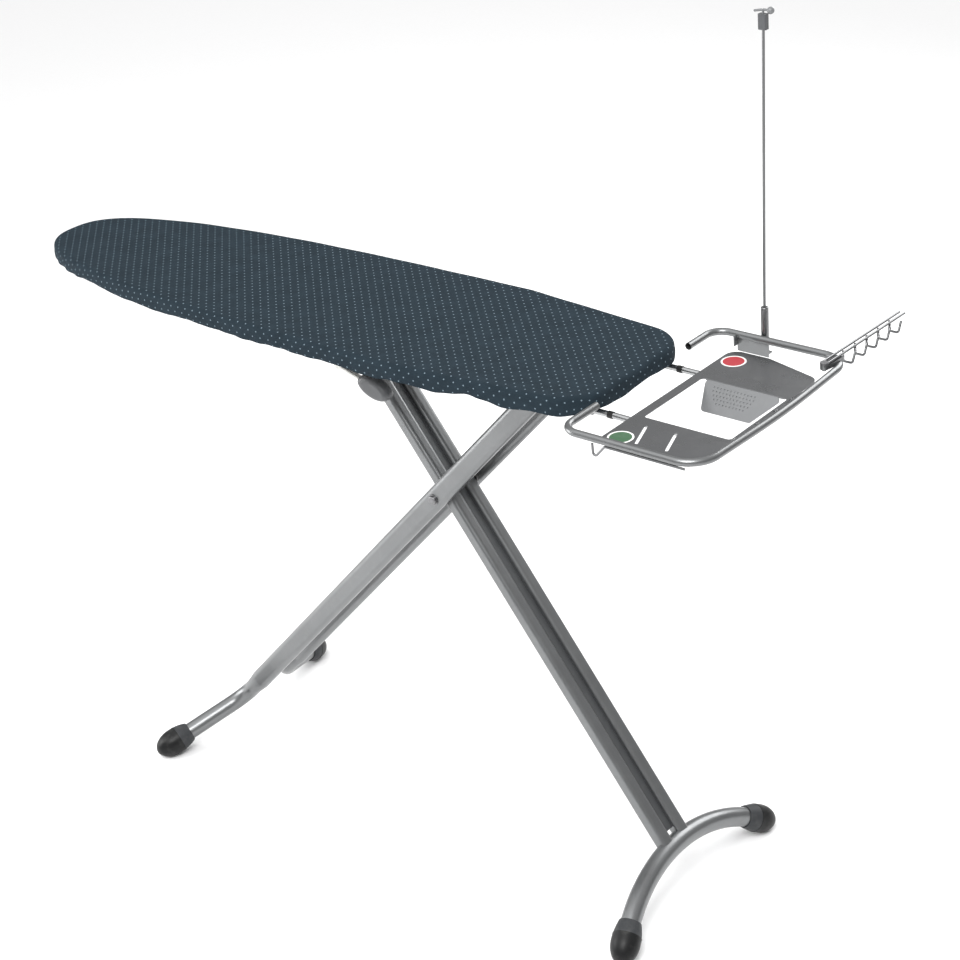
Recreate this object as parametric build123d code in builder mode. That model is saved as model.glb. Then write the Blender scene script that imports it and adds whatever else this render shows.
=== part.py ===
"""Folding ironing board with a sliding rest for a steam station, a cable mast and a hanger rack.

The board's long axis runs along X, nose towards -X and rest towards +X, with the floor at z = 0.
Sizes are in millimetres. The legs are drawn open, at working height.
"""
from build123d import *
from math import atan, cos, hypot, radians, sin, sqrt, tan
import os

# ---------------------------------------------------------------- driving sizes
# board
board_length = 1300.0
board_width = 350.4
board_height = 970.0        # floor to the top of the cover
nose_length = 963.0         # from the nose tip to the widest place
nose_power = 2.785          # fullness of the nose along the board
side_power = 2.656          # fullness of the nose across the board
tail_taper = 33.6           # half width lost between the widest place and the tail
tail_corner = 69.0
cover_depth = 28.6          # height of the cover's side
cover_gauge = 1.0
hem_lip = 15.0              # width of the hem turned in under the board
edge_round = 9.0
soft_gap = 0.3              # between the cover and the pad
pad_gauge = 8.0
pad_wrap = 5.0              # pad thickness over the sheet's edge
pad_skirt = 18.0
sheet_gauge = 1.2
rim_depth = 16.0
steam_hole_r = 5.0
steam_pitch_x = 56.0
steam_pitch_y = 48.0
steam_margin = 40.0

# scissor linkage
leg_a_angle = 46.63         # splayed leg, above the floor
leg_b_angle = 53.9          # T leg, above the floor
pivot_x = 259.0             # from the board's middle
fold_drop = 34.5            # cover's top to the fixed leg axle and the sliding axle
pivot_drop = 269.9          # those axles to the pivot bolt
axle_r = 6.0
pivot_r = 5.0
running_gap = 0.05          # radial clearance of a turning fit
side_gap = 0.5              # clearance beside a turning or sliding piece

# splayed leg: two flat-oval tubes that bend out into round feet
oval_width = 38.0
oval_depth = 21.0
leg_a_y = 52.0              # tube centre from the board's middle plane
leg_wall = 1.5
leg_a_round_d = 32.0
bend_height = 73.8          # floor to the bend
leg_a_top = 14.0            # tube beyond the hinge lug's foot
oval_end = 72.0             # from the bend to where the oval starts to turn round
round_start = 42.0          # from the bend to where the tube is fully round
foot_a_reach = 60.0         # from the bend to the middle of the rubber tip, along the board
foot_a_y = 199.0
foot_a_bend = 60.0
lug_gauge = 3.0
lug_r = 11.0
lug_foot = 34.0             # length of lug along the tube
washer_gauge = 1.5
bolt_head_r = 8.0
bolt_head = 4.5
bolt_round = 2.7
bolt_tail = 8.0
nut_height = 7.0
washer_r = 10.0
spacer_disc_r = 14.0

# T leg: two tubes, a recessed web and an arched foot
t_tube_width = 25.5
t_tube_depth = 25.0
t_tube_round = 8.0
t_wall = 1.5
t_width = 71.0
crown_height = 88.7         # floor to the crown of the foot
web_recess = 9.5
web_gauge = 1.5
web_lip = 9.0
web_stop = 26.0             # from the web's end to the foot's centre line
web_gap = 10.0              # from the pivot to the web on each side
web_top = 34.0              # from the sliding axle to the web's upper end
arch_half = 183.0           # crown to the end of the tube
arch_tilt = 30.0            # lean of the arch from upright
arch_d = 34.6
pivot_sleeve_r = 8.0

# rubber feet
cap_d = 50.0
collar_start = 36.0         # distances from the tip's centre, back towards the tube
tube_stop = 22.0
tip_start = 12.0
tip_length = 37.0           # tip's centre to its point
collar_lip = 2.0            # collar's wall where the tube enters
collar_step = 0.6           # collar below the tip's edge
collar_waist = 2.6          # collar below the tip's edge, halfway along

# rails and axle rollers under the board
rail_y = 68.0               # inner side of the channel
rail_depth = 18.0
rail_gauge = 2.0
rail_start = -262.0
rail_end = 492.0
roller_r = 12.0
roller_width = 10.0
brace_width = 44.0
brace_gauge = 1.5
brace_flange = 12.0
brace_end_gap = 7.0         # brace to the sheet's rim
axle_head = 2.5
spacer_wall = 2.5
brace_places = (-215.0, 20.0, 250.0, 470.0)

# release lever
lever_y = 120.0
lever_drop = 17.0           # slope of the lever bar below the level
lever_bar_d = 9.0
lever_cheek_r = 7.2         # of the crank, at the shaft and at the bend
lever_crank = 21.0          # drop from the shaft to the bar
lever_reach = 46.0          # shaft to the grip's inner end
grip_length = 66.0
grip_width = 37.0
grip_depth = 24.0
grip_round = 9.1
lever_shaft_d = 10.0
lever_shaft_x = 62.0        # ahead of the sliding axle
lever_shaft_drop = 5.5      # below the sliding axle
latch_gauge = 3.0
latch_gap = 1.0             # under the sliding axle
latch_depth = 7.0           # of the notch
latch_boss_r = 9.0
latch_height = 13.0
latch_nose = 15.0           # plate beyond the axle
lever_set = 10.0            # bar's bend, ahead of the shaft
spring_wire = 1.8
spring_r = 8.0
spring_turns = 6
spring_length = 20.0

# rest for the steam station
rest_gap = 5.0              # board tail to the centre line of the rest's open side
frame_d = 12.0
frame_wall = 1.2
frame_length = 250.0
frame_half = 204.0
frame_bow = 9.0
frame_bow_r = 1500.0
frame_drop = 12.0           # cover's top to the frame's centre line
frame_near_end = 115.0      # where the open side's ends stop
frame_far_end = 127.0
frame_corner = 28.0
frame_end_corner = 44.0
plate_gauge = 1.5
plate_start = 46.0          # from the frame's open side
plate_length = 172.0
plate_near = 184.0
plate_far = 180.0
plate_side_rise = 4.0       # how far up the tube the plate's near edge is turned
plate_taper = 28.0          # lost from the far edge at the rest's end
plate_corner = 20.0
plate_shoulder = 68.8       # straight part of the far edge
window_rim = 16.0           # strip of plate beside the board
window_end = 4.0
window_near = 84.0
window_far = 72.0
window_corner = 6.0
flap_height = 49.0
flap_lean = 38.0            # from upright
flap_near_cut = 9.0         # narrowing at the lower edge, board side
flap_end_cut = 44.0         # narrowing at the lower edge, end side
flap_lip = 12.0
dimple_r = 1.6
dimple_depth = 0.9
dimple_pitch = 6.0
dimple_field = 40.0
dimple_rows = 5
dimple_squash = 1.15        # of the half-moon's height
dimple_shift = -14.0        # of the half-moon's middle along the flap
slope_near = 172.0
slope_far = 92.0
slot_width = 5.0
slot_length = 60.0
slot_slant = 20.0
slot_places = ((47.0, -134.0), (98.0, -131.0))
rod_d = 10.0
rod_y = 92.0
rod_drop = 23.0             # frame's centre line to the rods
rod_inside = 160.0          # length of rod under the board
band_r = 5.8
band_start = 9.0            # from the tail
band_length = 9.0
socket_end = 20.0           # from the tail
socket_length = 70.0
socket_wall = 3.0
wire_d = 4.0
wire_drop = 24.0
wire_start = 12.0           # from the plate's board side
wire_slant = 1.0
wire_hook = 22.0            # width of the hook at its top
rivet_r = 3.5
rivet_height = 1.6
rivet_places = (-158.0, -88.0, -28.0, 22.0, 67.0)
label_r = 20.0
label_gauge = 0.4
label_x = 26.0              # from the plate's board side
red_label_y = 144.0
green_label_y = -156.0

# cable mast
mast_x = 83.5               # from the frame's open side
mast_gap = 0.7              # frame to the sleeve
mast_start = 10.0           # above the bracket's tongue
mast_length = 510.0
mast_lean = 7.0             # how far the rod's top leans towards the rest's end
mast_bend_r = 500.0
mast_d = 4.4
sleeve_d = 12.6
sleeve_length = 76.0
bracket_width = 57.0
bracket_gauge = 2.0
bracket_fold = 12.0         # width of the bracket's turned-in edge
tongue_width = 17.6
tongue_drop = 26.0          # frame's centre line to the tongue
block_x = 14.0
block_y = 10.0
block_z = 23.0
block_edge = 1.5
block_sink = 4.0            # depth of the rod in the block
clip_d = 3.6
clip_reach = 15.0           # from the block's middle to the clip's thin end
clip_rise = 6.0
clip_dip = 3.0              # slope of the clip's arm
clip_bend_r = 2.7
clip_head_r = 5.5
clip_head_x = 13.0          # from the block's middle to the clip's round head

# hanger rack
rack_x = 226.0              # pin, from the frame's open side
rack_root_y = 156.0
rack_tip_y = 378.0
rack_pin_r = 3.0
rack_pin_tail = 3.0         # pin below its bracket
rack_boss_r = 6.5
rack_wire_d = 4.0
rack_wire_gap = 9.0
rack_drift = 8.0            # how far the rack's tip leans towards +X
rack_plate_gauge = 2.0
rack_saddle = 5.0           # depth of the bracket over the frame tube
hook_count = 5
hook_first = 60.0           # from the rack's pin
hook_pitch = 33.0
hook_depth = 17.0
hook_step = 16.0
hook_bend_r = 3.5
hook_slant = 8.75           # along the rack, from one hook's foot to its top

# ---------------------------------------------------------------- derived places
hem_z = board_height - cover_depth
tail_x = board_length / 2
frame_x = tail_x + rest_gap                  # centre line of the frame's open side
frame_end = frame_x + frame_length
cap_r = cap_d / 2
fold_z = board_height - fold_drop
pivot_z = fold_z - pivot_drop
lever_shaft_z = fold_z - lever_shaft_drop
frame_z = board_height - frame_drop
rod_z = frame_z - rod_drop
plate_z = rod_z + rod_d / 2 + plate_gauge    # the plate lies on the rods
tongue_z = frame_z - tongue_drop
mast_bottom = tongue_z + mast_start
mast_top = mast_bottom + mast_length
sleeve_top = tongue_z + sleeve_length
leg_a_drop = (pivot_z - bend_height) / sin(radians(leg_a_angle))      # pivot to the bend
t_drop = (pivot_z - crown_height) / sin(radians(leg_b_angle))         # pivot to the foot's crown


def tip_reach(slope):
    """How far a rubber tip reaches from its centre along an axis that its own axis meets at this cosine."""
    return sqrt((tip_length * slope) ** 2 + cap_r ** 2 * (1 - slope ** 2))


# splayed leg: its foot runs from the bend to a tip that just rests on the floor
bend_x = pivot_x - leg_a_drop * cos(radians(leg_a_angle))
foot_a_x = bend_x - foot_a_reach
tip_a_z = cap_r
for step in range(30):
    foot_a_run = sqrt(foot_a_reach ** 2 + (foot_a_y - leg_a_y) ** 2 + (tip_a_z - bend_height) ** 2)
    tip_a_z = tip_reach((tip_a_z - bend_height) / foot_a_run)

# T leg: the arch's rise is what brings its tips down to the floor
crown_x = pivot_x + t_drop * cos(radians(leg_b_angle))
arch_lean = radians(arch_tilt)
arch_rise = arch_half / 3
for step in range(60):
    arch_turn = 2 * atan(arch_rise / arch_half)
    tip_b_z = tip_reach(sin(arch_turn) * cos(arch_lean))
    arch_rise = (crown_height - tip_b_z) / cos(arch_lean) - tube_stop * sin(arch_turn)
tip_b_y = arch_half + tube_stop * cos(arch_turn)
tip_b_x = crown_x + (crown_height - tip_b_z) * tan(arch_lean)

# the object's origin is at the middle of its whole box, on the floor
low_x = -board_length / 2
bow_turn = atan(frame_bow / frame_half)
high_x = frame_end - frame_bow_r * (1 / cos(bow_turn) - 1) + frame_d / 2
low_y = -max(foot_a_y + tip_reach((foot_a_y - leg_a_y) / foot_a_run), tip_b_y + tip_reach(cos(arch_turn)))
high_y = rack_tip_y
centre_x = -(low_x + high_x) / 2
centre_y = -(low_y + high_y) / 2


def at(x, y, z):
    """A point given from the board's middle plane and middle length."""
    return Vector(centre_x + x, centre_y + y, z)


def level(z):
    """Level plane through the board's middle, at a height."""
    return Plane(origin=at(0, 0, z))


def upright(y):
    """Plane of X and Z. A positive extrusion runs towards -Y."""
    return Plane(origin=at(0, y, 0), x_dir=(1, 0, 0), z_dir=(0, -1, 0))


def across(x, z=0.0):
    """Plane of Y and Z. A positive extrusion runs towards +X."""
    return Plane(origin=at(x, 0, z), x_dir=(0, 1, 0), z_dir=(1, 0, 0))


def tube_plane(path):
    """Section plane at the start of a path."""
    return Plane(origin=path @ 0, z_dir=path % 0)


def half_width(s):
    """Half the board's width at a distance s from the nose tip."""
    half = board_width / 2
    if s < nose_length:
        return half * (1 - (1 - s / nose_length) ** nose_power) ** (1 / side_power)
    return half - tail_taper * (s - nose_length) / (board_length - nose_length)


def board_side(s, inset):
    """A point of the near long edge, moved in square to the edge, at a distance s from the nose tip."""
    slope = (half_width(s + 0.01) - half_width(s - 0.01)) / 0.02
    length = hypot(1, slope)
    return s - tail_x + inset * slope / length, -half_width(s) + inset / length


def board_outline(inset):
    """The board's outline, drawn in from the cover's outer face."""
    places = [nose_length * (k / 8) ** 2 for k in range(1, 9)]
    places += [nose_length + (board_length - nose_length) * k / 4 for k in range(1, 5)]
    near = [board_side(s, inset) for s in places]
    far = [(x, -y) for x, y in reversed(near)]
    with BuildSketch(mode=Mode.PRIVATE) as outline:
        with BuildLine():
            edge = Spline(*far, (inset - tail_x, 0), *near)
            Line(edge @ 1, edge @ 0)
        make_face()
        with BuildSketch(mode=Mode.PRIVATE) as tail:
            with Locations((tail_x - inset, 0)):
                Rectangle(4 * inset + 0.2, 2 * board_width, align=(Align.MIN, Align.CENTER))
        add(tail.sketch, mode=Mode.SUBTRACT)
        fillet(outline.vertices().group_by(Axis.X)[-1], tail_corner - inset)
    return outline.sketch


# ---------------------------------------------------------------- board
pad_top = board_height - cover_gauge - soft_gap
sheet_top = pad_top - pad_gauge
sheet_low = sheet_top - sheet_gauge
pad_inset = cover_gauge + soft_gap
sheet_inset = pad_inset + pad_wrap

with BuildPart() as cover:
    with BuildSketch(level(hem_z)):
        add(board_outline(0))
    extrude(amount=cover_depth)
    fillet(cover.edges().group_by(Axis.Z)[-1], edge_round)
    with BuildPart(mode=Mode.PRIVATE) as cover_inside:
        with BuildSketch(level(hem_z + cover_gauge)):
            add(board_outline(cover_gauge))
        extrude(amount=cover_depth - 2 * cover_gauge)
        fillet(cover_inside.edges().group_by(Axis.Z)[-1], edge_round - cover_gauge)
    add(cover_inside.part, mode=Mode.SUBTRACT)
    with BuildSketch(level(hem_z)):
        add(board_outline(hem_lip))
    extrude(amount=cover_gauge, mode=Mode.SUBTRACT)

with BuildPart() as pad:
    with BuildSketch(level(pad_top - pad_skirt)):
        add(board_outline(pad_inset))
    extrude(amount=pad_skirt)
    fillet(pad.edges().group_by(Axis.Z)[-1], edge_round - pad_inset)
    with BuildSketch(level(pad_top - pad_skirt)):
        add(board_outline(sheet_inset))
    extrude(amount=pad_skirt - pad_gauge, mode=Mode.SUBTRACT)

steam_columns = int((board_length - 2 * steam_margin) / steam_pitch_x)
steam_rows = int(board_width / steam_pitch_y)
steam_places = []
for column in range(steam_columns + 1):
    for row in range(-steam_rows, steam_rows + 1):
        hole_x = -tail_x + steam_margin + column * steam_pitch_x
        hole_y = (row + 0.5 * (column % 2)) * steam_pitch_y
        if abs(hole_y) < half_width(hole_x + tail_x) - steam_margin:
            steam_places.append((hole_x, hole_y))

with BuildPart() as top_sheet:
    with BuildSketch(level(sheet_top - rim_depth)):
        add(board_outline(sheet_inset))
    extrude(amount=rim_depth)
    with BuildSketch(level(sheet_top - rim_depth)):
        add(board_outline(sheet_inset + sheet_gauge))
    extrude(amount=rim_depth - sheet_gauge, mode=Mode.SUBTRACT)
    with BuildSketch(level(sheet_low)):
        with Locations(*steam_places):
            Circle(steam_hole_r)
    extrude(amount=sheet_gauge, mode=Mode.SUBTRACT)

# ---------------------------------------------------------------- rails under the board
rail_low = fold_z - roller_r - side_gap / 2 - rail_gauge
rail_high = fold_z + roller_r + side_gap / 2 + rail_gauge
rail_outer = rail_y + rail_depth

arm = (fold_z - pivot_z) / sin(radians(leg_b_angle))   # pivot to either upper axle
slide_x = pivot_x - arm * cos(radians(leg_b_angle))    # sliding axle
hinge_x = pivot_x + arm * cos(radians(leg_b_angle))    # fixed leg axle
lever_x = slide_x + lever_shaft_x


def rail(side):
    """C channel, open towards the middle, drilled for the fixed leg axle and the lever's shaft."""
    with BuildPart() as channel:
        with BuildSketch(across(rail_start)):
            with BuildLine():
                Polyline((side * rail_y, rail_low), (side * rail_outer, rail_low),
                         (side * rail_outer, rail_high), (side * rail_y, rail_high),
                         (side * rail_y, rail_high - rail_gauge),
                         (side * (rail_outer - rail_gauge), rail_high - rail_gauge),
                         (side * (rail_outer - rail_gauge), rail_low + rail_gauge),
                         (side * rail_y, rail_low + rail_gauge), close=True)
            make_face()
        extrude(amount=rail_end - rail_start)
        with BuildSketch(upright(0)):
            with Locations((hinge_x, fold_z)):
                Circle(axle_r)
            with Locations((lever_x, lever_shaft_z)):
                Circle(lever_shaft_d / 2 + running_gap)
        extrude(amount=-side * rail_outer, mode=Mode.SUBTRACT)
    return channel.part


def cross_brace(x):
    """Hat-shaped strip from side to side, flat under the top sheet."""
    half = half_width(x + tail_x) - sheet_inset - sheet_gauge - brace_end_gap
    rise = sheet_low - rail_high
    with BuildPart() as brace:
        with BuildSketch(upright(half)):
            with Locations((x, rail_high + rise / 2)):
                Rectangle(brace_width, rise)
                Rectangle(brace_width - 2 * brace_gauge, rise, mode=Mode.SUBTRACT)
            with Locations((x, rail_high + brace_gauge / 2)):
                Rectangle(brace_width, brace_gauge)
            for end in (-1, 1):
                with Locations((x + end * (brace_width + brace_flange) / 2, sheet_low - brace_gauge / 2)):
                    Rectangle(brace_flange + 2 * brace_gauge, brace_gauge)
        extrude(amount=2 * half)
    return brace.part


braces = [cross_brace(x) for x in brace_places]

with BuildPart() as leg_axle:
    with BuildSketch(upright(rail_outer)):
        with Locations((hinge_x, fold_z)):
            Circle(axle_r)
    extrude(amount=2 * rail_outer)
    for side in (-1, 1):
        with BuildSketch(upright(side * rail_outer)):
            with Locations((hinge_x, fold_z)):
                Circle(axle_r + axle_head)
        extrude(amount=-side * axle_head)

lug_inner = leg_a_y - oval_depth / 2 - lug_gauge

with BuildPart() as axle_spacers:
    spacer_inner = lug_inner + lug_gauge + side_gap
    for side in (-1, 1):
        with BuildSketch(upright(side * spacer_inner)):
            with Locations((hinge_x, fold_z)):
                Circle(axle_r + spacer_wall)
                Circle(axle_r, mode=Mode.SUBTRACT)
        extrude(amount=-side * (rail_outer - rail_gauge - spacer_inner))


def rod_socket(side):
    """Sleeve that holds one of the rest's rods, hung from the top sheet by a web."""
    start = tail_x - socket_end - socket_length
    outer_r = rod_d / 2 + running_gap + socket_wall
    with BuildPart() as socket:
        with BuildSketch(across(start)):
            with Locations((side * rod_y, (rod_z + sheet_low) / 2)):
                Rectangle(socket_wall, sheet_low - rod_z)
            with Locations((side * rod_y, sheet_low - brace_gauge / 2)):
                Rectangle(2 * outer_r, brace_gauge)
            with Locations((side * rod_y, rod_z)):
                Circle(outer_r)
                Circle(rod_d / 2 + running_gap, mode=Mode.SUBTRACT)
        extrude(amount=socket_length)
    return socket.part


# ---------------------------------------------------------------- splayed leg
def down_leg(s, y, angle, lean):
    """Plane square to a leg at a distance s up from the pivot. Its normal runs down the leg."""
    run = cos(radians(angle))
    rise = sin(radians(angle))
    return Plane(origin=at(pivot_x + lean * s * run, y, pivot_z + s * rise),
                 x_dir=(0, 1, 0), z_dir=(-lean * run, 0, -rise))


lug_s = arm * cos(radians(leg_b_angle - leg_a_angle))     # lug's foot, up the splayed leg


def splayed_tube(side):
    """Flat-oval tube that turns round and bends outwards to its foot."""
    y = side * leg_a_y
    bend = Vector(*at(bend_x, y, bend_height))
    tip = at(foot_a_x, side * foot_a_y, tip_a_z)
    out = (tip - bend).normalized()
    round_plane = down_leg(round_start - leg_a_drop, y, leg_a_angle, 1)
    with BuildPart() as tube:
        for wall, mode in ((0, Mode.ADD), (leg_wall, Mode.SUBTRACT)):
            with BuildSketch(down_leg(lug_s + leg_a_top, y, leg_a_angle, 1)):
                SlotOverall(oval_width - 2 * wall, oval_depth - 2 * wall, rotation=90)
            extrude(amount=lug_s + leg_a_top + leg_a_drop - oval_end, mode=mode)
            with BuildSketch(down_leg(oval_end - leg_a_drop, y, leg_a_angle, 1)):
                SlotOverall(oval_width - 2 * wall, oval_depth - 2 * wall, rotation=90)
            with BuildSketch(round_plane):
                Circle(leg_a_round_d / 2 - wall)
            loft(mode=mode)
            with BuildLine() as foot:
                FilletPolyline(round_plane.origin, bend, tip - out * tube_stop, radius=foot_a_bend)
            with BuildSketch(round_plane):
                Circle(leg_a_round_d / 2 - wall)
            sweep(path=foot.wires()[0], mode=mode)
        with BuildSketch(upright(y + oval_depth)):
            with Locations((pivot_x, pivot_z)):
                Circle(pivot_r)
        extrude(amount=2 * oval_depth, mode=Mode.SUBTRACT)
    return tube.part


with BuildPart() as hinge_lugs:
    leg_run = cos(radians(leg_a_angle))
    leg_rise = sin(radians(leg_a_angle))
    for side in (-1, 1):
        with BuildSketch(upright(side * lug_inner)):
            with Locations((hinge_x, fold_z), (pivot_x + lug_s * leg_run, pivot_z + lug_s * leg_rise),
                           (pivot_x + (lug_s - lug_foot) * leg_run, pivot_z + (lug_s - lug_foot) * leg_rise)):
                Circle(lug_r)
            make_hull()
            with Locations((hinge_x, fold_z)):
                Circle(axle_r + running_gap, mode=Mode.SUBTRACT)
        extrude(amount=-side * lug_gauge)


def foot_cap(centre, out, tube_d):
    """Plastic collar and rubber tip, turned about the tube's axis."""
    across_axis = out.cross(Vector(0, 0, 1)).normalized()
    plane = Plane(origin=centre, x_dir=across_axis, z_dir=across_axis.cross(out))
    axis = Axis(centre, out)
    with BuildPart() as collar:
        with BuildSketch(plane):
            with BuildLine():
                Polyline((tube_d / 2, -collar_start), (tube_d / 2, -tube_stop), (0, -tube_stop),
                         (0, -tip_start), (cap_r - collar_step, -tip_start))
                ThreePointArc((cap_r - collar_step, -tip_start),
                              (cap_r - collar_waist, -(tip_start + collar_start) / 2),
                              (tube_d / 2 + collar_lip, -collar_start))
                Line((tube_d / 2 + collar_lip, -collar_start), (tube_d / 2, -collar_start))
            make_face()
        revolve(axis=axis)
    with BuildPart() as tip:
        with BuildSketch(plane):
            with BuildLine():
                Polyline((0, tip_length), (0, -tip_start), (cap_r, -tip_start), (cap_r, 0))
                Spline(*[(cap_r * cos(radians(15 * k)), tip_length * sin(radians(15 * k))) for k in range(7)],
                       tangents=((0, 1), (-1, 0)))
            make_face()
        revolve(axis=axis)
    return collar.part, tip.part


splayed_caps = {}
for side, name in ((-1, "near"), (1, "far")):
    bend = at(bend_x, side * leg_a_y, bend_height)
    tip_centre = at(foot_a_x, side * foot_a_y, tip_a_z)
    splayed_caps[name] = foot_cap(tip_centre, (tip_centre - bend).normalized(), leg_a_round_d)

leg_outer = leg_a_y + oval_depth / 2
leg_inner = leg_a_y - oval_depth / 2

with BuildPart() as pivot_bolt:
    with BuildSketch(upright(leg_outer)):
        with Locations((pivot_x, pivot_z)):
            Circle(pivot_r)
    extrude(amount=2 * leg_outer + washer_gauge)
    with BuildSketch(upright(-leg_outer - washer_gauge)):
        with Locations((pivot_x, pivot_z)):
            Circle(bolt_head_r)
    extrude(amount=bolt_head)
    fillet(pivot_bolt.edges().group_by(Axis.Y)[0], bolt_round)
    with BuildSketch(upright(leg_outer + bolt_tail)):
        with Locations((pivot_x, pivot_z)):
            Circle(pivot_r)
    extrude(amount=bolt_tail)

with BuildPart() as bolt_washer:
    with BuildSketch(upright(-leg_outer)):
        with Locations((pivot_x, pivot_z)):
            Circle(washer_r)
            Circle(pivot_r, mode=Mode.SUBTRACT)
    extrude(amount=washer_gauge)

with BuildPart() as pivot_nut:
    with BuildSketch(upright(leg_outer + nut_height)):
        with Locations((pivot_x, pivot_z)):
            RegularPolygon(bolt_head_r, 6)
            Circle(pivot_r, mode=Mode.SUBTRACT)
    extrude(amount=nut_height)

with BuildPart() as pivot_spacers:
    for side in (-1, 1):
        with BuildSketch(upright(side * (t_width / 2 + side_gap))):
            with Locations((pivot_x, pivot_z)):
                Circle(spacer_disc_r)
                Circle(pivot_r, mode=Mode.SUBTRACT)
        extrude(amount=-side * (leg_inner - t_width / 2 - side_gap))


# ---------------------------------------------------------------- T leg
with BuildPart(mode=Mode.PRIVATE) as arch_solid:
    arch_plane = Plane(origin=at(crown_x, 0, crown_height), x_dir=(0, 1, 0),
                       z_dir=(cos(arch_lean), 0, sin(arch_lean)))
    with BuildLine(arch_plane) as arch_line:
        ThreePointArc((-arch_half, -arch_rise), (0, 0), (arch_half, -arch_rise))
    with BuildSketch(tube_plane(arch_line.wires()[0])):
        Circle(arch_d / 2)
    sweep(path=arch_line.wires()[0])

with BuildPart() as foot_arch:
    add(arch_solid.part)
    with BuildSketch(tube_plane(arch_line.wires()[0])):
        Circle(arch_d / 2 - leg_wall)
    sweep(path=arch_line.wires()[0], mode=Mode.SUBTRACT)

tip_b_out = (at(tip_b_x, tip_b_y, tip_b_z) - Vector(*(arch_line.wires()[0] @ 1))).normalized()
t_caps = {
    "near": foot_cap(at(tip_b_x, -tip_b_y, tip_b_z), Vector(tip_b_out.X, -tip_b_out.Y, tip_b_out.Z), arch_d),
    "far": foot_cap(at(tip_b_x, tip_b_y, tip_b_z), tip_b_out, arch_d),
}


def arch_collar(collar):
    """A foot's collar, bored to the arch's curve."""
    with BuildPart() as fitted:
        add(collar)
        add(arch_solid.part, mode=Mode.SUBTRACT)
    return fitted.part


def t_tube(side):
    """Rounded tube of the T leg, closed and rounded at the top, coped on the foot."""
    y = side * (t_width - t_tube_width) / 2
    with BuildPart() as tube:
        with BuildSketch(down_leg(arm, y, leg_b_angle, -1)):
            RectangleRounded(t_tube_width, t_tube_depth, t_tube_round)
        extrude(amount=arm + t_drop)
        with BuildSketch(upright(y + t_tube_width / 2)):
            with Locations((slide_x, fold_z)):
                Circle(t_tube_depth / 2)
        extrude(amount=t_tube_width)
        with BuildSketch(down_leg(arm - t_tube_depth, y, leg_b_angle, -1)):
            RectangleRounded(t_tube_width - 2 * t_wall, t_tube_depth - 2 * t_wall, t_tube_round - t_wall)
        extrude(amount=arm + t_drop - t_tube_depth, mode=Mode.SUBTRACT)
        with BuildSketch(upright(y + t_tube_width)):
            with Locations((slide_x, fold_z)):
                Circle(axle_r)
            with Locations((pivot_x, pivot_z)):
                Circle(pivot_sleeve_r)
        extrude(amount=2 * t_tube_width, mode=Mode.SUBTRACT)
        add(arch_solid.part, mode=Mode.SUBTRACT)
    return tube.part


def t_web(top, bottom):
    """Channel that fills the gap between the tubes, from one distance up the leg to another."""
    width = t_width - 2 * t_tube_width
    front = t_tube_depth / 2 - web_recess
    with BuildPart() as channel:
        with BuildSketch(down_leg(top, 0, leg_b_angle, -1)):
            with Locations((0, front - web_lip / 2)):
                Rectangle(width, web_lip)
            with Locations((0, front - web_gauge - web_lip / 2)):
                Rectangle(width - 2 * web_gauge, web_lip, mode=Mode.SUBTRACT)
        extrude(amount=top - bottom)
    return channel.part


with BuildPart() as pivot_sleeve:
    with BuildSketch(upright(t_width / 2)):
        with Locations((pivot_x, pivot_z)):
            Circle(pivot_sleeve_r)
            Circle(pivot_r + running_gap, mode=Mode.SUBTRACT)
    extrude(amount=t_width)

slide_half = rail_outer - rail_gauge - side_gap
with BuildPart() as slide_axle:
    with BuildSketch(upright(slide_half)):
        with Locations((slide_x, fold_z)):
            Circle(axle_r)
    extrude(amount=2 * slide_half)

with BuildPart() as rollers:
    for side in (-1, 1):
        with BuildSketch(upright(side * (slide_half - side_gap))):
            with Locations((slide_x, fold_z)):
                Circle(roller_r)
                Circle(axle_r, mode=Mode.SUBTRACT)
        extrude(amount=side * roller_width)


# ---------------------------------------------------------------- release lever
with BuildPart() as lever_shaft:
    with BuildSketch(upright(rail_outer)):
        with Locations((lever_x, lever_shaft_z)):
            Circle(lever_shaft_d / 2)
    extrude(amount=rail_outer + lever_y)

with BuildPart() as latch_plates:
    latch_middle = (leg_outer + rail_y) / 2
    latch_top = fold_z - axle_r - latch_gap
    for side in (-1, 1):
        with BuildSketch(upright(side * latch_middle + latch_gauge / 2)):
            with Locations((lever_x, lever_shaft_z)):
                Circle(latch_boss_r)
            with Locations(((lever_x + slide_x - latch_nose) / 2, latch_top - latch_height / 2)):
                Rectangle(lever_x - slide_x + latch_nose, latch_height)
            with Locations((slide_x, latch_top - latch_depth / 2)):
                Rectangle(2 * axle_r + 2 * latch_gap, latch_depth, mode=Mode.SUBTRACT)
            with Locations((lever_x, lever_shaft_z)):
                Circle(lever_shaft_d / 2, mode=Mode.SUBTRACT)
        extrude(amount=latch_gauge)


slope_x = cos(radians(lever_drop))
slope_z = -sin(radians(lever_drop))
bar_turn = Vector(lever_x + lever_set, 0, lever_shaft_z - lever_crank)
grip_from = Vector(bar_turn.X + lever_reach * slope_x, 0, bar_turn.Z + lever_reach * slope_z)
grip_middle = Vector(grip_from.X + grip_length / 2 * slope_x, 0, grip_from.Z + grip_length / 2 * slope_z)

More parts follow.
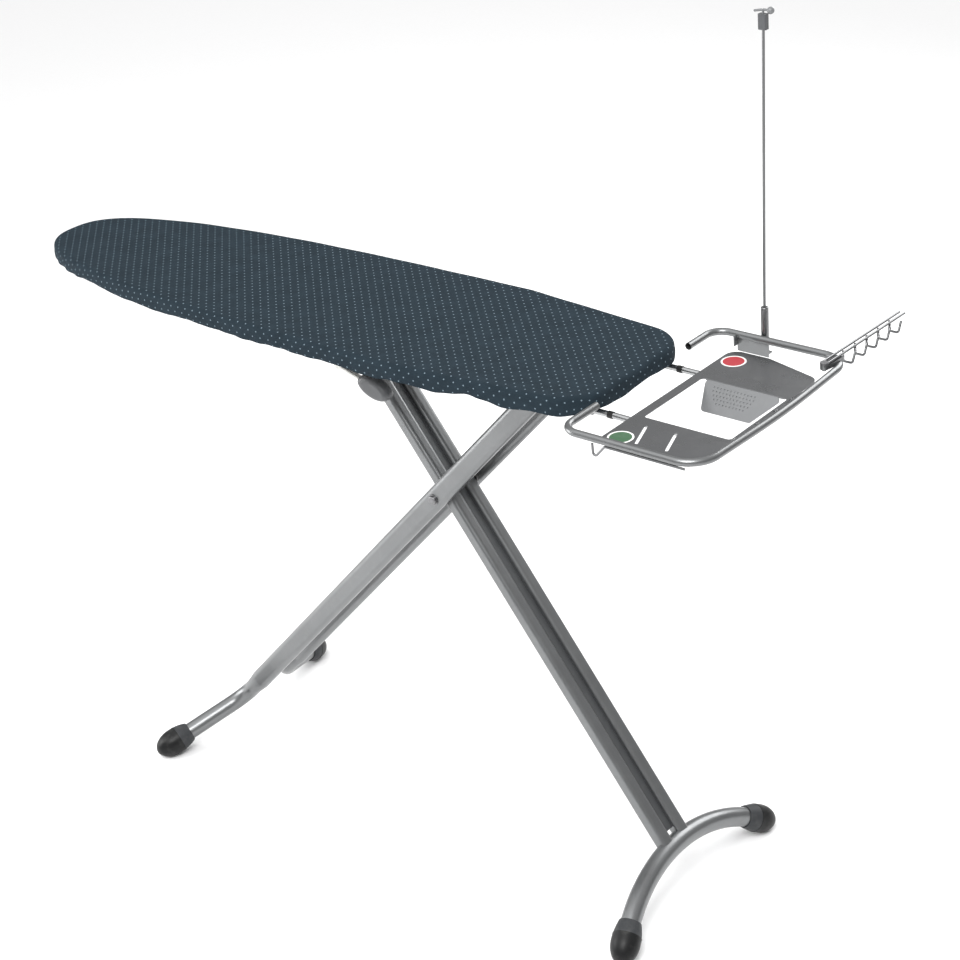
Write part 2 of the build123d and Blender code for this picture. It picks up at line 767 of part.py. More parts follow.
with BuildPart() as lever_bar:
    with BuildSketch(upright(-lever_y + lever_bar_d / 2)):
        with Locations((lever_x, lever_shaft_z), (bar_turn.X, bar_turn.Z)):
            Circle(lever_cheek_r)
        make_hull()
        with Locations((lever_x, lever_shaft_z)):
            Circle(lever_shaft_d / 2, mode=Mode.SUBTRACT)
    extrude(amount=lever_bar_d)
    with BuildLine() as bar_line:
        Line(at(bar_turn.X, -lever_y, bar_turn.Z), at(grip_middle.X, -lever_y, grip_middle.Z))
    with BuildSketch(tube_plane(bar_line.wires()[0])):
        Circle(lever_bar_d / 2)
    sweep(path=bar_line.wires()[0])
    split(bisect_by=upright(-lever_y - lever_bar_d / 2), keep=Keep.BOTTOM)

with BuildPart() as lever_grip:
    grip_plane = Plane(origin=at(grip_middle.X, -lever_y, grip_middle.Z), x_dir=(slope_x, 0, slope_z),
                       z_dir=(0, -1, 0))
    with BuildSketch(grip_plane.offset(-grip_depth / 2)):
        Ellipse(grip_length / 2, grip_width / 2)
    extrude(amount=grip_depth)
    fillet(lever_grip.edges().group_by(Axis.Y)[-1] + lever_grip.edges().group_by(Axis.Y)[0], grip_round)
    add(lever_bar.part, mode=Mode.SUBTRACT)

spring_from = (rail_outer + lever_y - lever_bar_d / 2 - spring_length) / 2
with BuildPart() as lever_spring:
    with BuildLine() as spring_line:
        Helix(pitch=spring_length / spring_turns, height=spring_length, radius=spring_r,
              center=at(lever_x, -spring_from, lever_shaft_z), direction=(0, -1, 0))
    with BuildSketch(tube_plane(spring_line.wires()[0])):
        Circle(spring_wire / 2)
    sweep(path=spring_line.wires()[0])

# ---------------------------------------------------------------- rest for the steam station
frame_points = (
    at(frame_x, -frame_near_end, frame_z),
    at(frame_x, -frame_half, frame_z),
    at(frame_end - frame_bow, -frame_half, frame_z),
    at(frame_end, 0, frame_z),
    at(frame_end - frame_bow, frame_half, frame_z),
    at(frame_x, frame_half, frame_z),
    at(frame_x, frame_far_end, frame_z),
)
frame_radii = (frame_corner, frame_end_corner, frame_bow_r, frame_end_corner, frame_corner)

with BuildPart(mode=Mode.PRIVATE) as frame_solid:
    with BuildLine() as frame_line:
        FilletPolyline(*frame_points, radius=frame_radii)
    with BuildSketch(tube_plane(frame_line.wires()[0])):
        Circle(frame_d / 2)
    sweep(path=frame_line.wires()[0])

with BuildPart() as rest_frame:
    add(frame_solid.part)
    with BuildSketch(tube_plane(frame_line.wires()[0])):
        Circle(frame_d / 2 - frame_wall)
    sweep(path=frame_line.wires()[0], mode=Mode.SUBTRACT)

plate_x = frame_x + plate_start
plate_end = plate_x + plate_length
window_x = plate_x + window_rim
window_stop = plate_end - window_end

with BuildPart() as rest_plate:
    with BuildSketch(level(plate_z - plate_gauge)) as plate_outline:
        with BuildLine():
            Polyline((plate_x, -plate_near), (plate_end, -plate_near), (plate_end, plate_far - plate_taper),
                     (plate_x + plate_shoulder, plate_far), (plate_x, plate_far), close=True)
        make_face()
        fillet(plate_outline.vertices(), plate_corner)
        with Locations(((window_x + window_stop) / 2, (window_far - window_near) / 2)):
            RectangleRounded(window_stop - window_x, window_far + window_near, window_corner,
                             mode=Mode.SUBTRACT)
        for slot_x, slot_y in slot_places:
            with Locations((plate_x + slot_x, slot_y)):
                SlotOverall(slot_length, slot_width, rotation=slot_slant - 90, mode=Mode.SUBTRACT)
    extrude(amount=plate_gauge)
    with BuildSketch(across(plate_x + plate_corner)):
        with BuildLine():
            Polyline((-plate_near + plate_gauge, plate_z - plate_gauge), (-plate_near, plate_z - plate_gauge),
                     (-frame_half, frame_z + plate_side_rise - plate_gauge),
                     (-frame_half, frame_z + plate_side_rise),
                     (-plate_near + plate_gauge, plate_z), close=True)
        make_face()
    extrude(amount=plate_length - 2 * plate_corner)
    with BuildSketch(upright(-slope_near)):
        with BuildLine():
            Polyline((window_stop, plate_z - plate_gauge), (plate_end, plate_z - plate_gauge),
                     (frame_end - frame_bow, frame_z - plate_gauge), (frame_end - frame_bow, frame_z),
                     (plate_end, plate_z), (window_stop, plate_z), close=True)
        make_face()
    extrude(amount=-(slope_near + slope_far))
    add(frame_solid.part, mode=Mode.SUBTRACT)

slope_angle = atan((frame_z - plate_z) / (frame_end - frame_bow - plate_end))
with BuildPart() as rest_rivets:
    for place in rivet_places:
        middle = at((plate_end + frame_end - frame_bow - frame_d) / 2, place,
                    plate_z + (frame_end - frame_bow - frame_d - plate_end) / 2 * tan(slope_angle))
        outward = (-sin(slope_angle), 0, cos(slope_angle))
        with BuildSketch(Plane(origin=middle, x_dir=(0, 1, 0), z_dir=outward)):
            Circle(rivet_r)
        extrude(amount=rivet_height)

window_middle = (window_x + window_stop) / 2
flap_half = (window_stop - window_x) / 2 - window_corner
lean = radians(flap_lean)
with BuildPart() as steam_flap:
    flap_plane = Plane(origin=at(window_middle, window_far, plate_z - plate_gauge), x_dir=(1, 0, 0),
                       z_dir=(0, -cos(lean), sin(lean)))
    with BuildSketch(flap_plane) as flap_face:
        with BuildLine():
            Polyline((-flap_half, 0), (flap_half, 0), (flap_half - flap_end_cut, -flap_height),
                     (-flap_half + flap_near_cut, -flap_height), close=True)
        make_face()
        fillet(flap_face.vertices().group_by(Axis.Z)[0], window_corner)
    extrude(amount=-plate_gauge)
    with BuildSketch(flap_plane):
        for row in range(dimple_rows):
            reach = sqrt(dimple_field ** 2 - (row * dimple_pitch * dimple_squash) ** 2)
            count = int(2 * reach / dimple_pitch)
            start = dimple_shift - (count - 1) / 2 * dimple_pitch
            with Locations(*[(start + k * dimple_pitch, -(row + 1.5) * dimple_pitch) for k in range(count)]):
                Circle(dimple_r)
    extrude(amount=-dimple_depth, mode=Mode.SUBTRACT)
    with BuildSketch(across(window_middle - flap_half)):
        with Locations((window_far + flap_lip / 2, plate_z - plate_gauge * 1.5)):
            Rectangle(flap_lip, plate_gauge)
    extrude(amount=2 * flap_half)


def rest_rod(side):
    """Chrome rod that runs level from its socket to the plate's end."""
    with BuildPart() as rod:
        with BuildSketch(across(tail_x - rod_inside)):
            with Locations((side * rod_y, rod_z)):
                Circle(rod_d / 2)
        extrude(amount=rod_inside + plate_end - window_end - tail_x)
    return rod.part


with BuildPart() as rod_bands:
    for side in (-1, 1):
        with BuildSketch(across(tail_x + band_start)):
            with Locations((side * rod_y, rod_z)):
                Circle(band_r)
                Circle(rod_d / 2, mode=Mode.SUBTRACT)
        extrude(amount=band_length)

wire_y = -(frame_half + wire_d / 2)
wire_z = frame_z - frame_d / 2 - wire_d / 2
wire_from = plate_x + wire_start
with BuildPart() as wire_rail:
    with BuildLine() as wire_line:
        FilletPolyline(at(wire_from, wire_y, wire_z), at(wire_from + wire_slant, wire_y, wire_z - wire_drop),
                       at(wire_from + wire_hook, wire_y, wire_z), at(plate_end, wire_y, wire_z),
                       radius=wire_d)
    with BuildSketch(tube_plane(wire_line.wires()[0])):
        Circle(wire_d / 2)
    sweep(path=wire_line.wires()[0])
    add(frame_solid.part, mode=Mode.SUBTRACT)


def label(y):
    """Plain round sticker on the plate."""
    with BuildPart() as disc:
        with BuildSketch(level(plate_z)):
            with Locations((plate_x + label_x, y)):
                Circle(label_r)
        extrude(amount=label_gauge)
    return disc.part


# ---------------------------------------------------------------- cable mast
mast_line_x = frame_x + mast_x
mast_y = frame_half + frame_d / 2 + mast_gap + sleeve_d / 2

bracket_end = mast_line_x - bracket_width * 3 / 4
bracket_low = tongue_z - bracket_gauge
with BuildPart() as mast_bracket:
    with BuildSketch(upright(frame_half + bracket_gauge / 2)):
        with Locations((mast_line_x - bracket_width / 4, (bracket_low + frame_z) / 2)):
            Rectangle(bracket_width, frame_z - bracket_low)
    extrude(amount=bracket_gauge)
    with BuildSketch(level(bracket_low)):
        with Locations((mast_line_x, (frame_half + mast_y + sleeve_d / 2) / 2)):
            Rectangle(tongue_width, mast_y + sleeve_d / 2 - frame_half)
    extrude(amount=bracket_gauge)
    with BuildSketch(level(plate_z)):
        with Locations((bracket_end + bracket_gauge / 2, frame_half - bracket_fold / 2)):
            Rectangle(bracket_gauge, bracket_fold)
    extrude(amount=frame_z - plate_z)
    add(frame_solid.part, mode=Mode.SUBTRACT)

with BuildPart() as mast_sleeve:
    with BuildSketch(level(tongue_z)):
        with Locations((mast_line_x, mast_y)):
            Circle(sleeve_d / 2)
    extrude(amount=sleeve_top - tongue_z)
    fillet(mast_sleeve.edges().group_by(Axis.Z)[-1], sleeve_d / 8)
    with BuildSketch(level(sleeve_top)):
        with Locations((mast_line_x, mast_y)):
            Circle(mast_d / 2 + running_gap)
    extrude(amount=mast_bottom - sleeve_top, mode=Mode.SUBTRACT)

head_x = mast_line_x + mast_lean
with BuildPart() as mast_rod:
    with BuildLine() as mast_line:
        FilletPolyline(at(mast_line_x, mast_y, mast_bottom), at(mast_line_x, mast_y, sleeve_top + sleeve_d),
                       at(head_x, mast_y, mast_top), radius=mast_bend_r)
    with BuildSketch(tube_plane(mast_line.wires()[0])):
        Circle(mast_d / 2)
    sweep(path=mast_line.wires()[0])

with BuildPart() as mast_head:
    with BuildSketch(level(mast_top - block_sink)):
        with Locations((head_x, mast_y)):
            Rectangle(block_x, block_y)
    extrude(amount=block_z)
    chamfer(mast_head.edges().filter_by(Axis.Z), block_edge)
    add(mast_rod.part, mode=Mode.SUBTRACT)

head_top = mast_top - block_sink + block_z
with BuildPart() as cable_clip:
    with BuildLine() as clip_line:
        FilletPolyline(at(head_x, mast_y, head_top), at(head_x, mast_y, head_top + clip_rise),
                       at(head_x - clip_reach, mast_y, head_top + clip_rise - clip_dip), radius=clip_bend_r)
    with BuildSketch(tube_plane(clip_line.wires()[0])):
        Circle(clip_d / 2)
    sweep(path=clip_line.wires()[0])
    with BuildSketch(across(head_x, head_top + clip_rise)):
        with Locations((mast_y, 0)):
            Circle(clip_d / 2)
    extrude(amount=clip_head_x)
    with Locations(at(head_x + clip_head_x, mast_y, head_top + clip_rise)):
        Sphere(clip_head_r)

# ---------------------------------------------------------------- hanger rack
pin_x = frame_x + rack_x
saddle_top = frame_z + frame_d / 2 + rack_plate_gauge
boss_low = saddle_top + side_gap / 2
rack_z = boss_low + rack_wire_d / 2
with BuildPart() as rack_bracket:
    with BuildSketch(level(saddle_top - rack_saddle - rack_plate_gauge)):
        with Locations((pin_x, rack_root_y)):
            Circle(rack_boss_r)
        with Locations((pin_x + rack_boss_r, frame_half - frame_end_corner / 3)):
            Circle(rack_boss_r)
        make_hull()
        with Locations((pin_x, rack_root_y)):
            Circle(rack_pin_r + running_gap, mode=Mode.SUBTRACT)
    extrude(amount=rack_saddle + rack_plate_gauge)
    add(frame_solid.part, mode=Mode.SUBTRACT)

with BuildPart() as rack_pin:
    with BuildSketch(level(saddle_top - rack_saddle - rack_plate_gauge - rack_pin_tail)):
        with Locations((pin_x, rack_root_y)):
            Circle(rack_pin_r)
    extrude(amount=rack_saddle + rack_plate_gauge + rack_pin_tail + side_gap / 2)
    with BuildSketch(level(boss_low)):
        with Locations((pin_x, rack_root_y)):
            Circle(rack_boss_r)
    extrude(amount=rack_wire_d)

with BuildPart() as rack_wires:
    for side in (-1, 1):
        wire_x = pin_x + side * rack_wire_gap / 2
        with BuildLine() as rack_run:
            Line(at(wire_x, rack_root_y, rack_z), at(wire_x + rack_drift, rack_tip_y, rack_z))
        with BuildSketch(tube_plane(rack_run.wires()[0])):
            Circle(rack_wire_d / 2)
        sweep(path=rack_run.wires()[0])
    add(rack_pin.part, mode=Mode.SUBTRACT)


hook_top = rack_z - rack_wire_d
hook_low = hook_top - hook_depth
hook_points = []
for index in range(hook_count):
    hook_y = rack_root_y + hook_first + index * hook_pitch
    hook_x = pin_x - rack_wire_gap / 2 + rack_drift * (hook_y - rack_root_y) / (rack_tip_y - rack_root_y)
    hook_points.append(at(hook_x, hook_y, hook_top))
    hook_points.append(at(hook_x, hook_y, hook_low))
    hook_points.append(at(hook_x + hook_step, hook_y, hook_low))
    hook_points.append(at(hook_x + hook_step, hook_y + hook_slant, hook_top))
with BuildPart() as hanger_hooks:
    with BuildLine() as hook_line:
        FilletPolyline(*hook_points, radius=hook_bend_r)
    with BuildSketch(tube_plane(hook_line.wires()[0])):
        Circle(rack_wire_d / 2)
    sweep(path=hook_line.wires()[0])

# ---------------------------------------------------------------- files
os.makedirs("parts", exist_ok=True)


def save(part, name):
    """Write one piece to its own file, under its own name."""
    part.label = name
    export_step(part, f"parts/{name}.step")


save(cover.part, "cover")
save(pad.part, "pad")
save(top_sheet.part, "top_sheet")
for index, brace in enumerate(braces):
    save(brace, f"cross_brace_{index + 1}")
save(leg_axle.part, "leg_axle")
save(pivot_bolt.part, "pivot_bolt")
save(bolt_washer.part, "bolt_washer")
save(pivot_nut.part, "pivot_nut")
save(foot_arch.part, "foot_arch")
save(t_web(arm - web_top, web_gap), "upper_t_web")
save(t_web(-web_gap, web_stop - t_drop), "lower_t_web")
save(pivot_sleeve.part, "pivot_sleeve")
save(slide_axle.part, "slide_axle")
save(rollers.part, "rollers")
save(hinge_lugs.part, "hinge_lugs")
save(axle_spacers.part, "axle_spacers")
save(pivot_spacers.part, "pivot_spacers")
save(latch_plates.part, "latch_plates")
save(rod_bands.part, "rod_bands")
save(rack_wires.part, "rack_wires")
save(lever_shaft.part, "lever_shaft")
save(lever_bar.part, "lever_bar")
save(lever_grip.part, "lever_grip")
save(lever_spring.part, "lever_spring")
save(rest_frame.part, "rest_frame")
save(rest_plate.part, "rest_plate")
save(rest_rivets.part, "rest_rivets")
save(steam_flap.part, "steam_flap")
save(wire_rail.part, "wire_rail")
save(label(red_label_y), "red_label")
save(label(green_label_y), "green_label")
save(mast_bracket.part, "mast_bracket")
save(mast_sleeve.part, "mast_sleeve")
save(mast_rod.part, "mast_rod")
save(mast_head.part, "mast_head")
save(cable_clip.part, "cable_clip")
save(rack_bracket.part, "rack_bracket")
save(rack_pin.part, "rack_pin")
save(hanger_hooks.part, "hanger_hooks")
for side, name in ((-1, "near"), (1, "far")):
    save(rail(side), f"{name}_rail")
    save(rod_socket(side), f"{name}_rod_socket")
    save(splayed_tube(side), f"{name}_splayed_tube")
    save(splayed_caps[name][0], f"{name}_splayed_collar")
    save(splayed_caps[name][1], f"{name}_splayed_tip")
    save(t_tube(side), f"{name}_t_tube")
    save(arch_collar(t_caps[name][0]), f"{name}_t_collar")
    save(t_caps[name][1], f"{name}_t_tip")
    save(rest_rod(side), f"{name}_rest_rod")
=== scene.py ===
"""Looks of the folding ironing board, laid out as an add-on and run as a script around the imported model.

The pad, the cover and the casing of its drawcord are worked out here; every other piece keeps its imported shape
and gets its finish. Sizes are in metres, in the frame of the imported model.
"""

import bmesh
import bpy
import numpy as np
from mathutils import Matrix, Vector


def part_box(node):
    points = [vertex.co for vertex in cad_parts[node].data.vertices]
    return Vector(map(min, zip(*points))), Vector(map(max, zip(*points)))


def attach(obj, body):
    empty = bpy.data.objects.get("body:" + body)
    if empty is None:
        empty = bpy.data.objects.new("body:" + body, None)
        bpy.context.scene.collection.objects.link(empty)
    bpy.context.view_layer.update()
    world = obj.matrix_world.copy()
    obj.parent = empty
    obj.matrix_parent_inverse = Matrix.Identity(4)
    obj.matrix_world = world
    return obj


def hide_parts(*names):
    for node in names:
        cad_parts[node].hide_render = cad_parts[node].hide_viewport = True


bl_info = {
    "name": "Ironing Board Looks",
    "version": (1, 0, 0),
    "blender": (4, 5, 0),
    "location": "View3D > Sidebar > Ironing Board",
    "description": "Builds the padded top, the finishes and the stage of a folding ironing board",
    "category": "Object",
}

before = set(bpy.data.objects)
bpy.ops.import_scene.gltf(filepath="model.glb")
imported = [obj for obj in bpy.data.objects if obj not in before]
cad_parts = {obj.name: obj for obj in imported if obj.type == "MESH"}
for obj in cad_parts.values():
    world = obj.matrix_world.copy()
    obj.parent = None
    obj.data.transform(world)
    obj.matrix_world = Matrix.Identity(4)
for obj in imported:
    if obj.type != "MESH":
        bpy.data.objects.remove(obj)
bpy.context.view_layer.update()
cover_low, cover_high = (np.array(corner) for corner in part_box("cover"))
pad_low, pad_high = (np.array(corner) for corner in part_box("pad"))
middle_x = (cover_low[0] + cover_high[0]) / 2
middle_y = (cover_low[1] + cover_high[1]) / 2

OUTLINE_STEPS = 6001             # places worked out along the board before the rim is spaced evenly
SPINE_ENDS = (0.17, 0.13)        # where the rings' middle line stops, from the nose and from the tail
RIM_COUNT = 960                  # points in each ring of the pad and the cover
CORD_COUNT = 720                 # points along the drawcord's casing
EDGE_RINGS = 9                   # rings round the soft upper edge
PUCKER_WAVES = (0.035, 0.11)     # shortest and longest wave of the side's puckers
SAG_WAVES = (0.10, 0.45)         # of the hem's sag
GATHER_WAVES = (0.02, 0.05)      # of the gathers at the drawcord
SAG_LIMIT = 0.003                # how far the hem may rise
SIDE_FULLNESS = 0.0011           # how far the cloth's side bulges
SIDE_EASE = 0.0004               # how far the side stands in from the rim
HEM_FOLD = 0.0028                # radius of the fold at the hem
HEM_LIFT = 0.0016                # how far the turned-in cloth rises
# where the near side hangs slack: distance from the board's middle, half length and share of the hem's sag
SLACK_PLACES = ((0.515, 0.028, 1.0), (0.385, 0.035, 0.7), (0.45, 0.02, -0.3))
COVER_INSET = 0.0006             # cover's rim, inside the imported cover
PAD_INSET = 0.0036               # pad's rim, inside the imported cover
PAD_DROP = 0.0008                # pad's top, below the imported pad's
PAD_LIFT = 0.004                 # pad's lower edge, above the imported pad's
PAD_EDGE_LESS = 0.002            # how much smaller the pad's upper edge is than the cover's
PAD_TURN = 0.0035                # width of pad turned in at its lower edge
CASING_INSET = 0.0034            # drawcord's casing, inside the hem's inner edge
CASING_LIFT = 0.0022             # casing above the hem
FLOOR_REACH = 12.0
LIGHT_AIM = 0.7                  # height the lamps look at


# ---------------------------------------------------------------- settings
def length(name, description, default):
    """A length in metres."""
    return bpy.props.FloatProperty(name=name, description=description, default=default, unit="LENGTH",
                                   precision=5)


def ratio(name, description, default):
    """A number without a unit."""
    return bpy.props.FloatProperty(name=name, description=description, default=default, precision=4)


def colour(name, description, default):
    """A linear colour."""
    return bpy.props.FloatVectorProperty(name=name, description=description, default=default, size=3,
                                         subtype="COLOR", min=0.0, max=1.0)


class BoardTopSettings(bpy.types.PropertyGroup):
    """Sizes of the board's outline and of its cloth and pad."""
    nose_length: length("Nose length", "From the nose tip to the widest place", 0.963)
    nose_power: ratio("Nose power", "Fullness of the nose along the board", 2.785)
    side_power: ratio("Side power", "Fullness of the nose across the board", 2.656)
    tail_taper: length("Tail taper", "Half width lost between the widest place and the tail", 0.0336)
    tail_corner: length("Tail corner", "Radius of the tail's corners", 0.069)
    edge_round: length("Edge round", "Radius of the soft upper edge", 0.0105)
    hem_depth: length("Hem depth", "Width of the cloth turned in under the board", 0.022)
    hem_wave: length("Hem wave", "How far the hem rises and sags along the side", 0.0016)
    hem_sag: length("Hem sag", "How far the hem drops where the near side is slack", 0.0055)
    side_pucker: length("Side pucker", "Depth of the puckers that the drawcord pulls into the side", 0.0009)
    pad_relief: length("Pad relief", "Unevenness of the pad seen through the cloth", 0.0007)
    drawcord: length("Drawcord", "Radius of the casing round the drawcord", 0.0022)
    dot_column: length("Dot column", "Distance between columns of dots, along the board", 0.00925)
    dot_row: length("Dot row", "Distance between dots in a column", 0.0185)
    dot_size: length("Dot size", "Diameter of one dot", 0.0025)
    cloth: colour("Cloth", "Ground colour of the cover", (0.0125, 0.0200, 0.0265))
    dots: colour("Dots", "Colour of the woven dots", (0.15, 0.20, 0.235))
    felt: colour("Felt", "Colour of the pad", (0.55, 0.53, 0.48))


class MetalSettings(bpy.types.PropertyGroup):
    """Colours of the painted, plated and bare metal."""
    silver: colour("Silver paint", "Paint of the tubes", (0.195, 0.20, 0.203))
    shaded_web: colour("Web paint", "Paint of the recessed web", (0.11, 0.114, 0.118))
    # The web's colour is painted shade: the tubes' silver darkened for the shade in the recess between the
    # T-leg's tubes.
    sheet: colour("Sheet paint", "Paint of the top sheet, rails and braces", (0.36, 0.365, 0.37))
    plate: colour("Plate paint", "Paint of the rest's plate", (0.125, 0.128, 0.132))
    flap: colour("Flap paint", "Paint of the dimpled flap", (0.20, 0.205, 0.21))
    zinc: colour("Zinc", "Plated axles and lever parts", (0.52, 0.52, 0.50))
    bolt: colour("Bolt", "Dull fasteners", (0.22, 0.22, 0.225))
    chrome: colour("Chrome", "Rods and wire of the rest", (0.36, 0.365, 0.37))
    mast: colour("Mast", "Mast, sleeve and rack wires", (0.20, 0.203, 0.207))


class PlasticSettings(bpy.types.PropertyGroup):
    """Colours of plastic, rubber and stickers."""
    collar: colour("Collar", "Collars of the feet", (0.030, 0.032, 0.035))
    rubber: colour("Rubber", "Tips of the feet", (0.0045, 0.0048, 0.0052))
    grip: colour("Grip", "Grip of the release lever", (0.075, 0.078, 0.083))
    black: colour("Black", "Rollers and spacers", (0.02, 0.02, 0.02))
    head: colour("Head", "Block on the mast", (0.07, 0.073, 0.078))
    clip: colour("Clip", "Clip on the mast", (0.16, 0.165, 0.17))
    red: colour("Red", "Red sticker", (0.36, 0.018, 0.028))
    green: colour("Green", "Green sticker", (0.035, 0.10, 0.045))
    sticker_rim: colour("Sticker rim", "Pale ring on the stickers", (0.75, 0.75, 0.73))


class StageSettings(bpy.types.PropertyGroup):
    """Camera, lights and floor."""
    camera_x: length("Camera X", "Camera's place along the board, from the board's middle", 2.39335)
    camera_y: length("Camera Y", "Camera's place across the board, from the board's middle", -2.36626)
    camera_z: length("Camera Z", "Camera's height", 2.33016)
    yaw: bpy.props.FloatProperty(name="Yaw", description="Turn about the vertical", default=np.radians(41.344),
                                 subtype="ANGLE")
    pitch: bpy.props.FloatProperty(name="Pitch", description="Angle below the horizon",
                                   default=np.radians(27.513), subtype="ANGLE")
    roll: bpy.props.FloatProperty(name="Roll", description="Roll about the line of sight",
                                  default=np.radians(-5.138), subtype="ANGLE")
    lens: ratio("Lens", "Focal length in millimetres on a 36 mm sensor", 79.73)
    key_power: ratio("Key power", "Power of the large light in watts", 120.0)
    fill_power: ratio("Fill power", "Power of the low fill in watts", 60.0)
    daylight: ratio("Daylight", "Strength of the even light from above", 1.1)
    rim_power: ratio("Rim power", "Power of the light behind", 70.0)
    sky: ratio("Sky", "Strength of the surrounding light", 0.75)
    floor: colour("Floor", "Colour of the floor", (0.90, 0.90, 0.90))


# ---------------------------------------------------------------- surfaces
def mesh_piece(name, points, faces, body, uv=None, smooth=True):
    """A mesh object from arrays of points and faces, riding on a body."""
    mesh = bpy.data.meshes.new(name)
    mesh.from_pydata(points.reshape(-1, 3), [], faces.tolist())
    if uv is not None:
        layer = mesh.uv_layers.new(name="flat_cloth")
        corners = np.empty(len(mesh.loops), np.int32)
        mesh.loops.foreach_get("vertex_index", corners)
        layer.data.foreach_set("uv", uv.reshape(-1, 2)[corners].ravel())
    mesh.polygons.foreach_set("use_smooth", np.full(len(mesh.polygons), smooth))
    mesh.update()
    piece = bpy.data.objects.new(name, mesh)
    bpy.context.scene.collection.objects.link(piece)
    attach(piece, body)
    return piece


def grid_faces(rows, columns, closed):
    """Quads of a grid of rows by columns of points, joined round along the columns when closed."""
    row, column = np.meshgrid(np.arange(rows - 1), np.arange(columns if closed else columns - 1), indexing="ij")
    after = (column + 1) % columns
    return np.stack([row * columns + column, row * columns + after,
                     (row + 1) * columns + after, (row + 1) * columns + column], axis=-1).reshape(-1, 4)


def weld_doubles(piece, distance=1e-5):
    """Merges the points that a grid brings together at a seam or a pole."""
    shell = bmesh.new()
    shell.from_mesh(piece.data)
    bmesh.ops.remove_doubles(shell, verts=shell.verts, dist=distance)
    bmesh.ops.dissolve_degenerate(shell, dist=distance / 10, edges=shell.edges)
    shell.to_mesh(piece.data)
    shell.free()


def half_width(s, settings):
    """Half the board's width at a distance s from the nose tip: a superellipse up to the widest place, then a
    straight taper, closed by round corners at the tail."""
    full = (cover_high[1] - cover_low[1]) / 2
    whole = cover_high[0] - cover_low[0]
    nose = full * (1 - np.clip(1 - s / settings.nose_length, 0, 1) ** settings.nose_power) ** (
        1 / settings.side_power)
    taper = full - settings.tail_taper * np.clip(s - settings.nose_length, 0, None) / (
        whole - settings.nose_length)
    straight = np.where(s < settings.nose_length, nose, taper)
    into = np.clip(s - (whole - settings.tail_corner), 0, settings.tail_corner)
    corner = settings.tail_corner - np.sqrt(settings.tail_corner ** 2 - into ** 2)
    return straight - corner


def outline(settings, count):
    """Points evenly spaced round the board, with outward normals: from the tail's middle along the near side to
    the nose tip, and back along the far side."""
    whole = cover_high[0] - cover_low[0]
    turn = np.linspace(0, np.pi, OUTLINE_STEPS)
    s = whole * (1 - np.cos(turn)) / 2
    half = half_width(s, settings)
    near = np.stack([s, -half], axis=1)
    far = np.stack([s, half], axis=1)
    tail = np.array([[whole, 0.0]])
    loop = np.concatenate([tail, near[::-1], far[1:], tail])
    along = np.concatenate([[0], np.cumsum(np.linalg.norm(np.diff(loop, axis=0), axis=1))])
    places = np.linspace(0, along[-1], count, endpoint=False)
    points = np.stack([np.interp(places, along, loop[:, k]) for k in range(2)], axis=1)
    ahead = np.roll(points, -1, axis=0) - np.roll(points, 1, axis=0)
    normals = np.stack([ahead[:, 1], -ahead[:, 0]], axis=1)
    normals /= np.linalg.norm(normals, axis=1, keepdims=True)
    spine = np.stack([np.clip(points[:, 0], SPINE_ENDS[0], whole - SPINE_ENDS[1]), np.zeros(count)], axis=1)
    if np.sum(normals * (points - spine)) < 0:
        normals = -normals
    shift = np.array([cover_low[0], middle_y])
    return points + shift, normals, spine + shift, places


def ripples(places, seed, shortest, longest, count=14):
    """A sum of sines round a closed loop, with seeded phases, between two wavelengths."""
    draw = np.random.default_rng(seed)
    total = places[-1] + places[1]
    turns = draw.integers(int(total / longest), int(total / shortest), count)
    phases = draw.uniform(0, 2 * np.pi, count)
    waves = np.sin(2 * np.pi * places[:, None] / total * turns + phases)
    return waves.sum(axis=1) / np.sqrt(count)


def bump(x, middle, width):
    """A smooth hump of height 1."""
    return np.exp(-((x - middle) / width) ** 2)


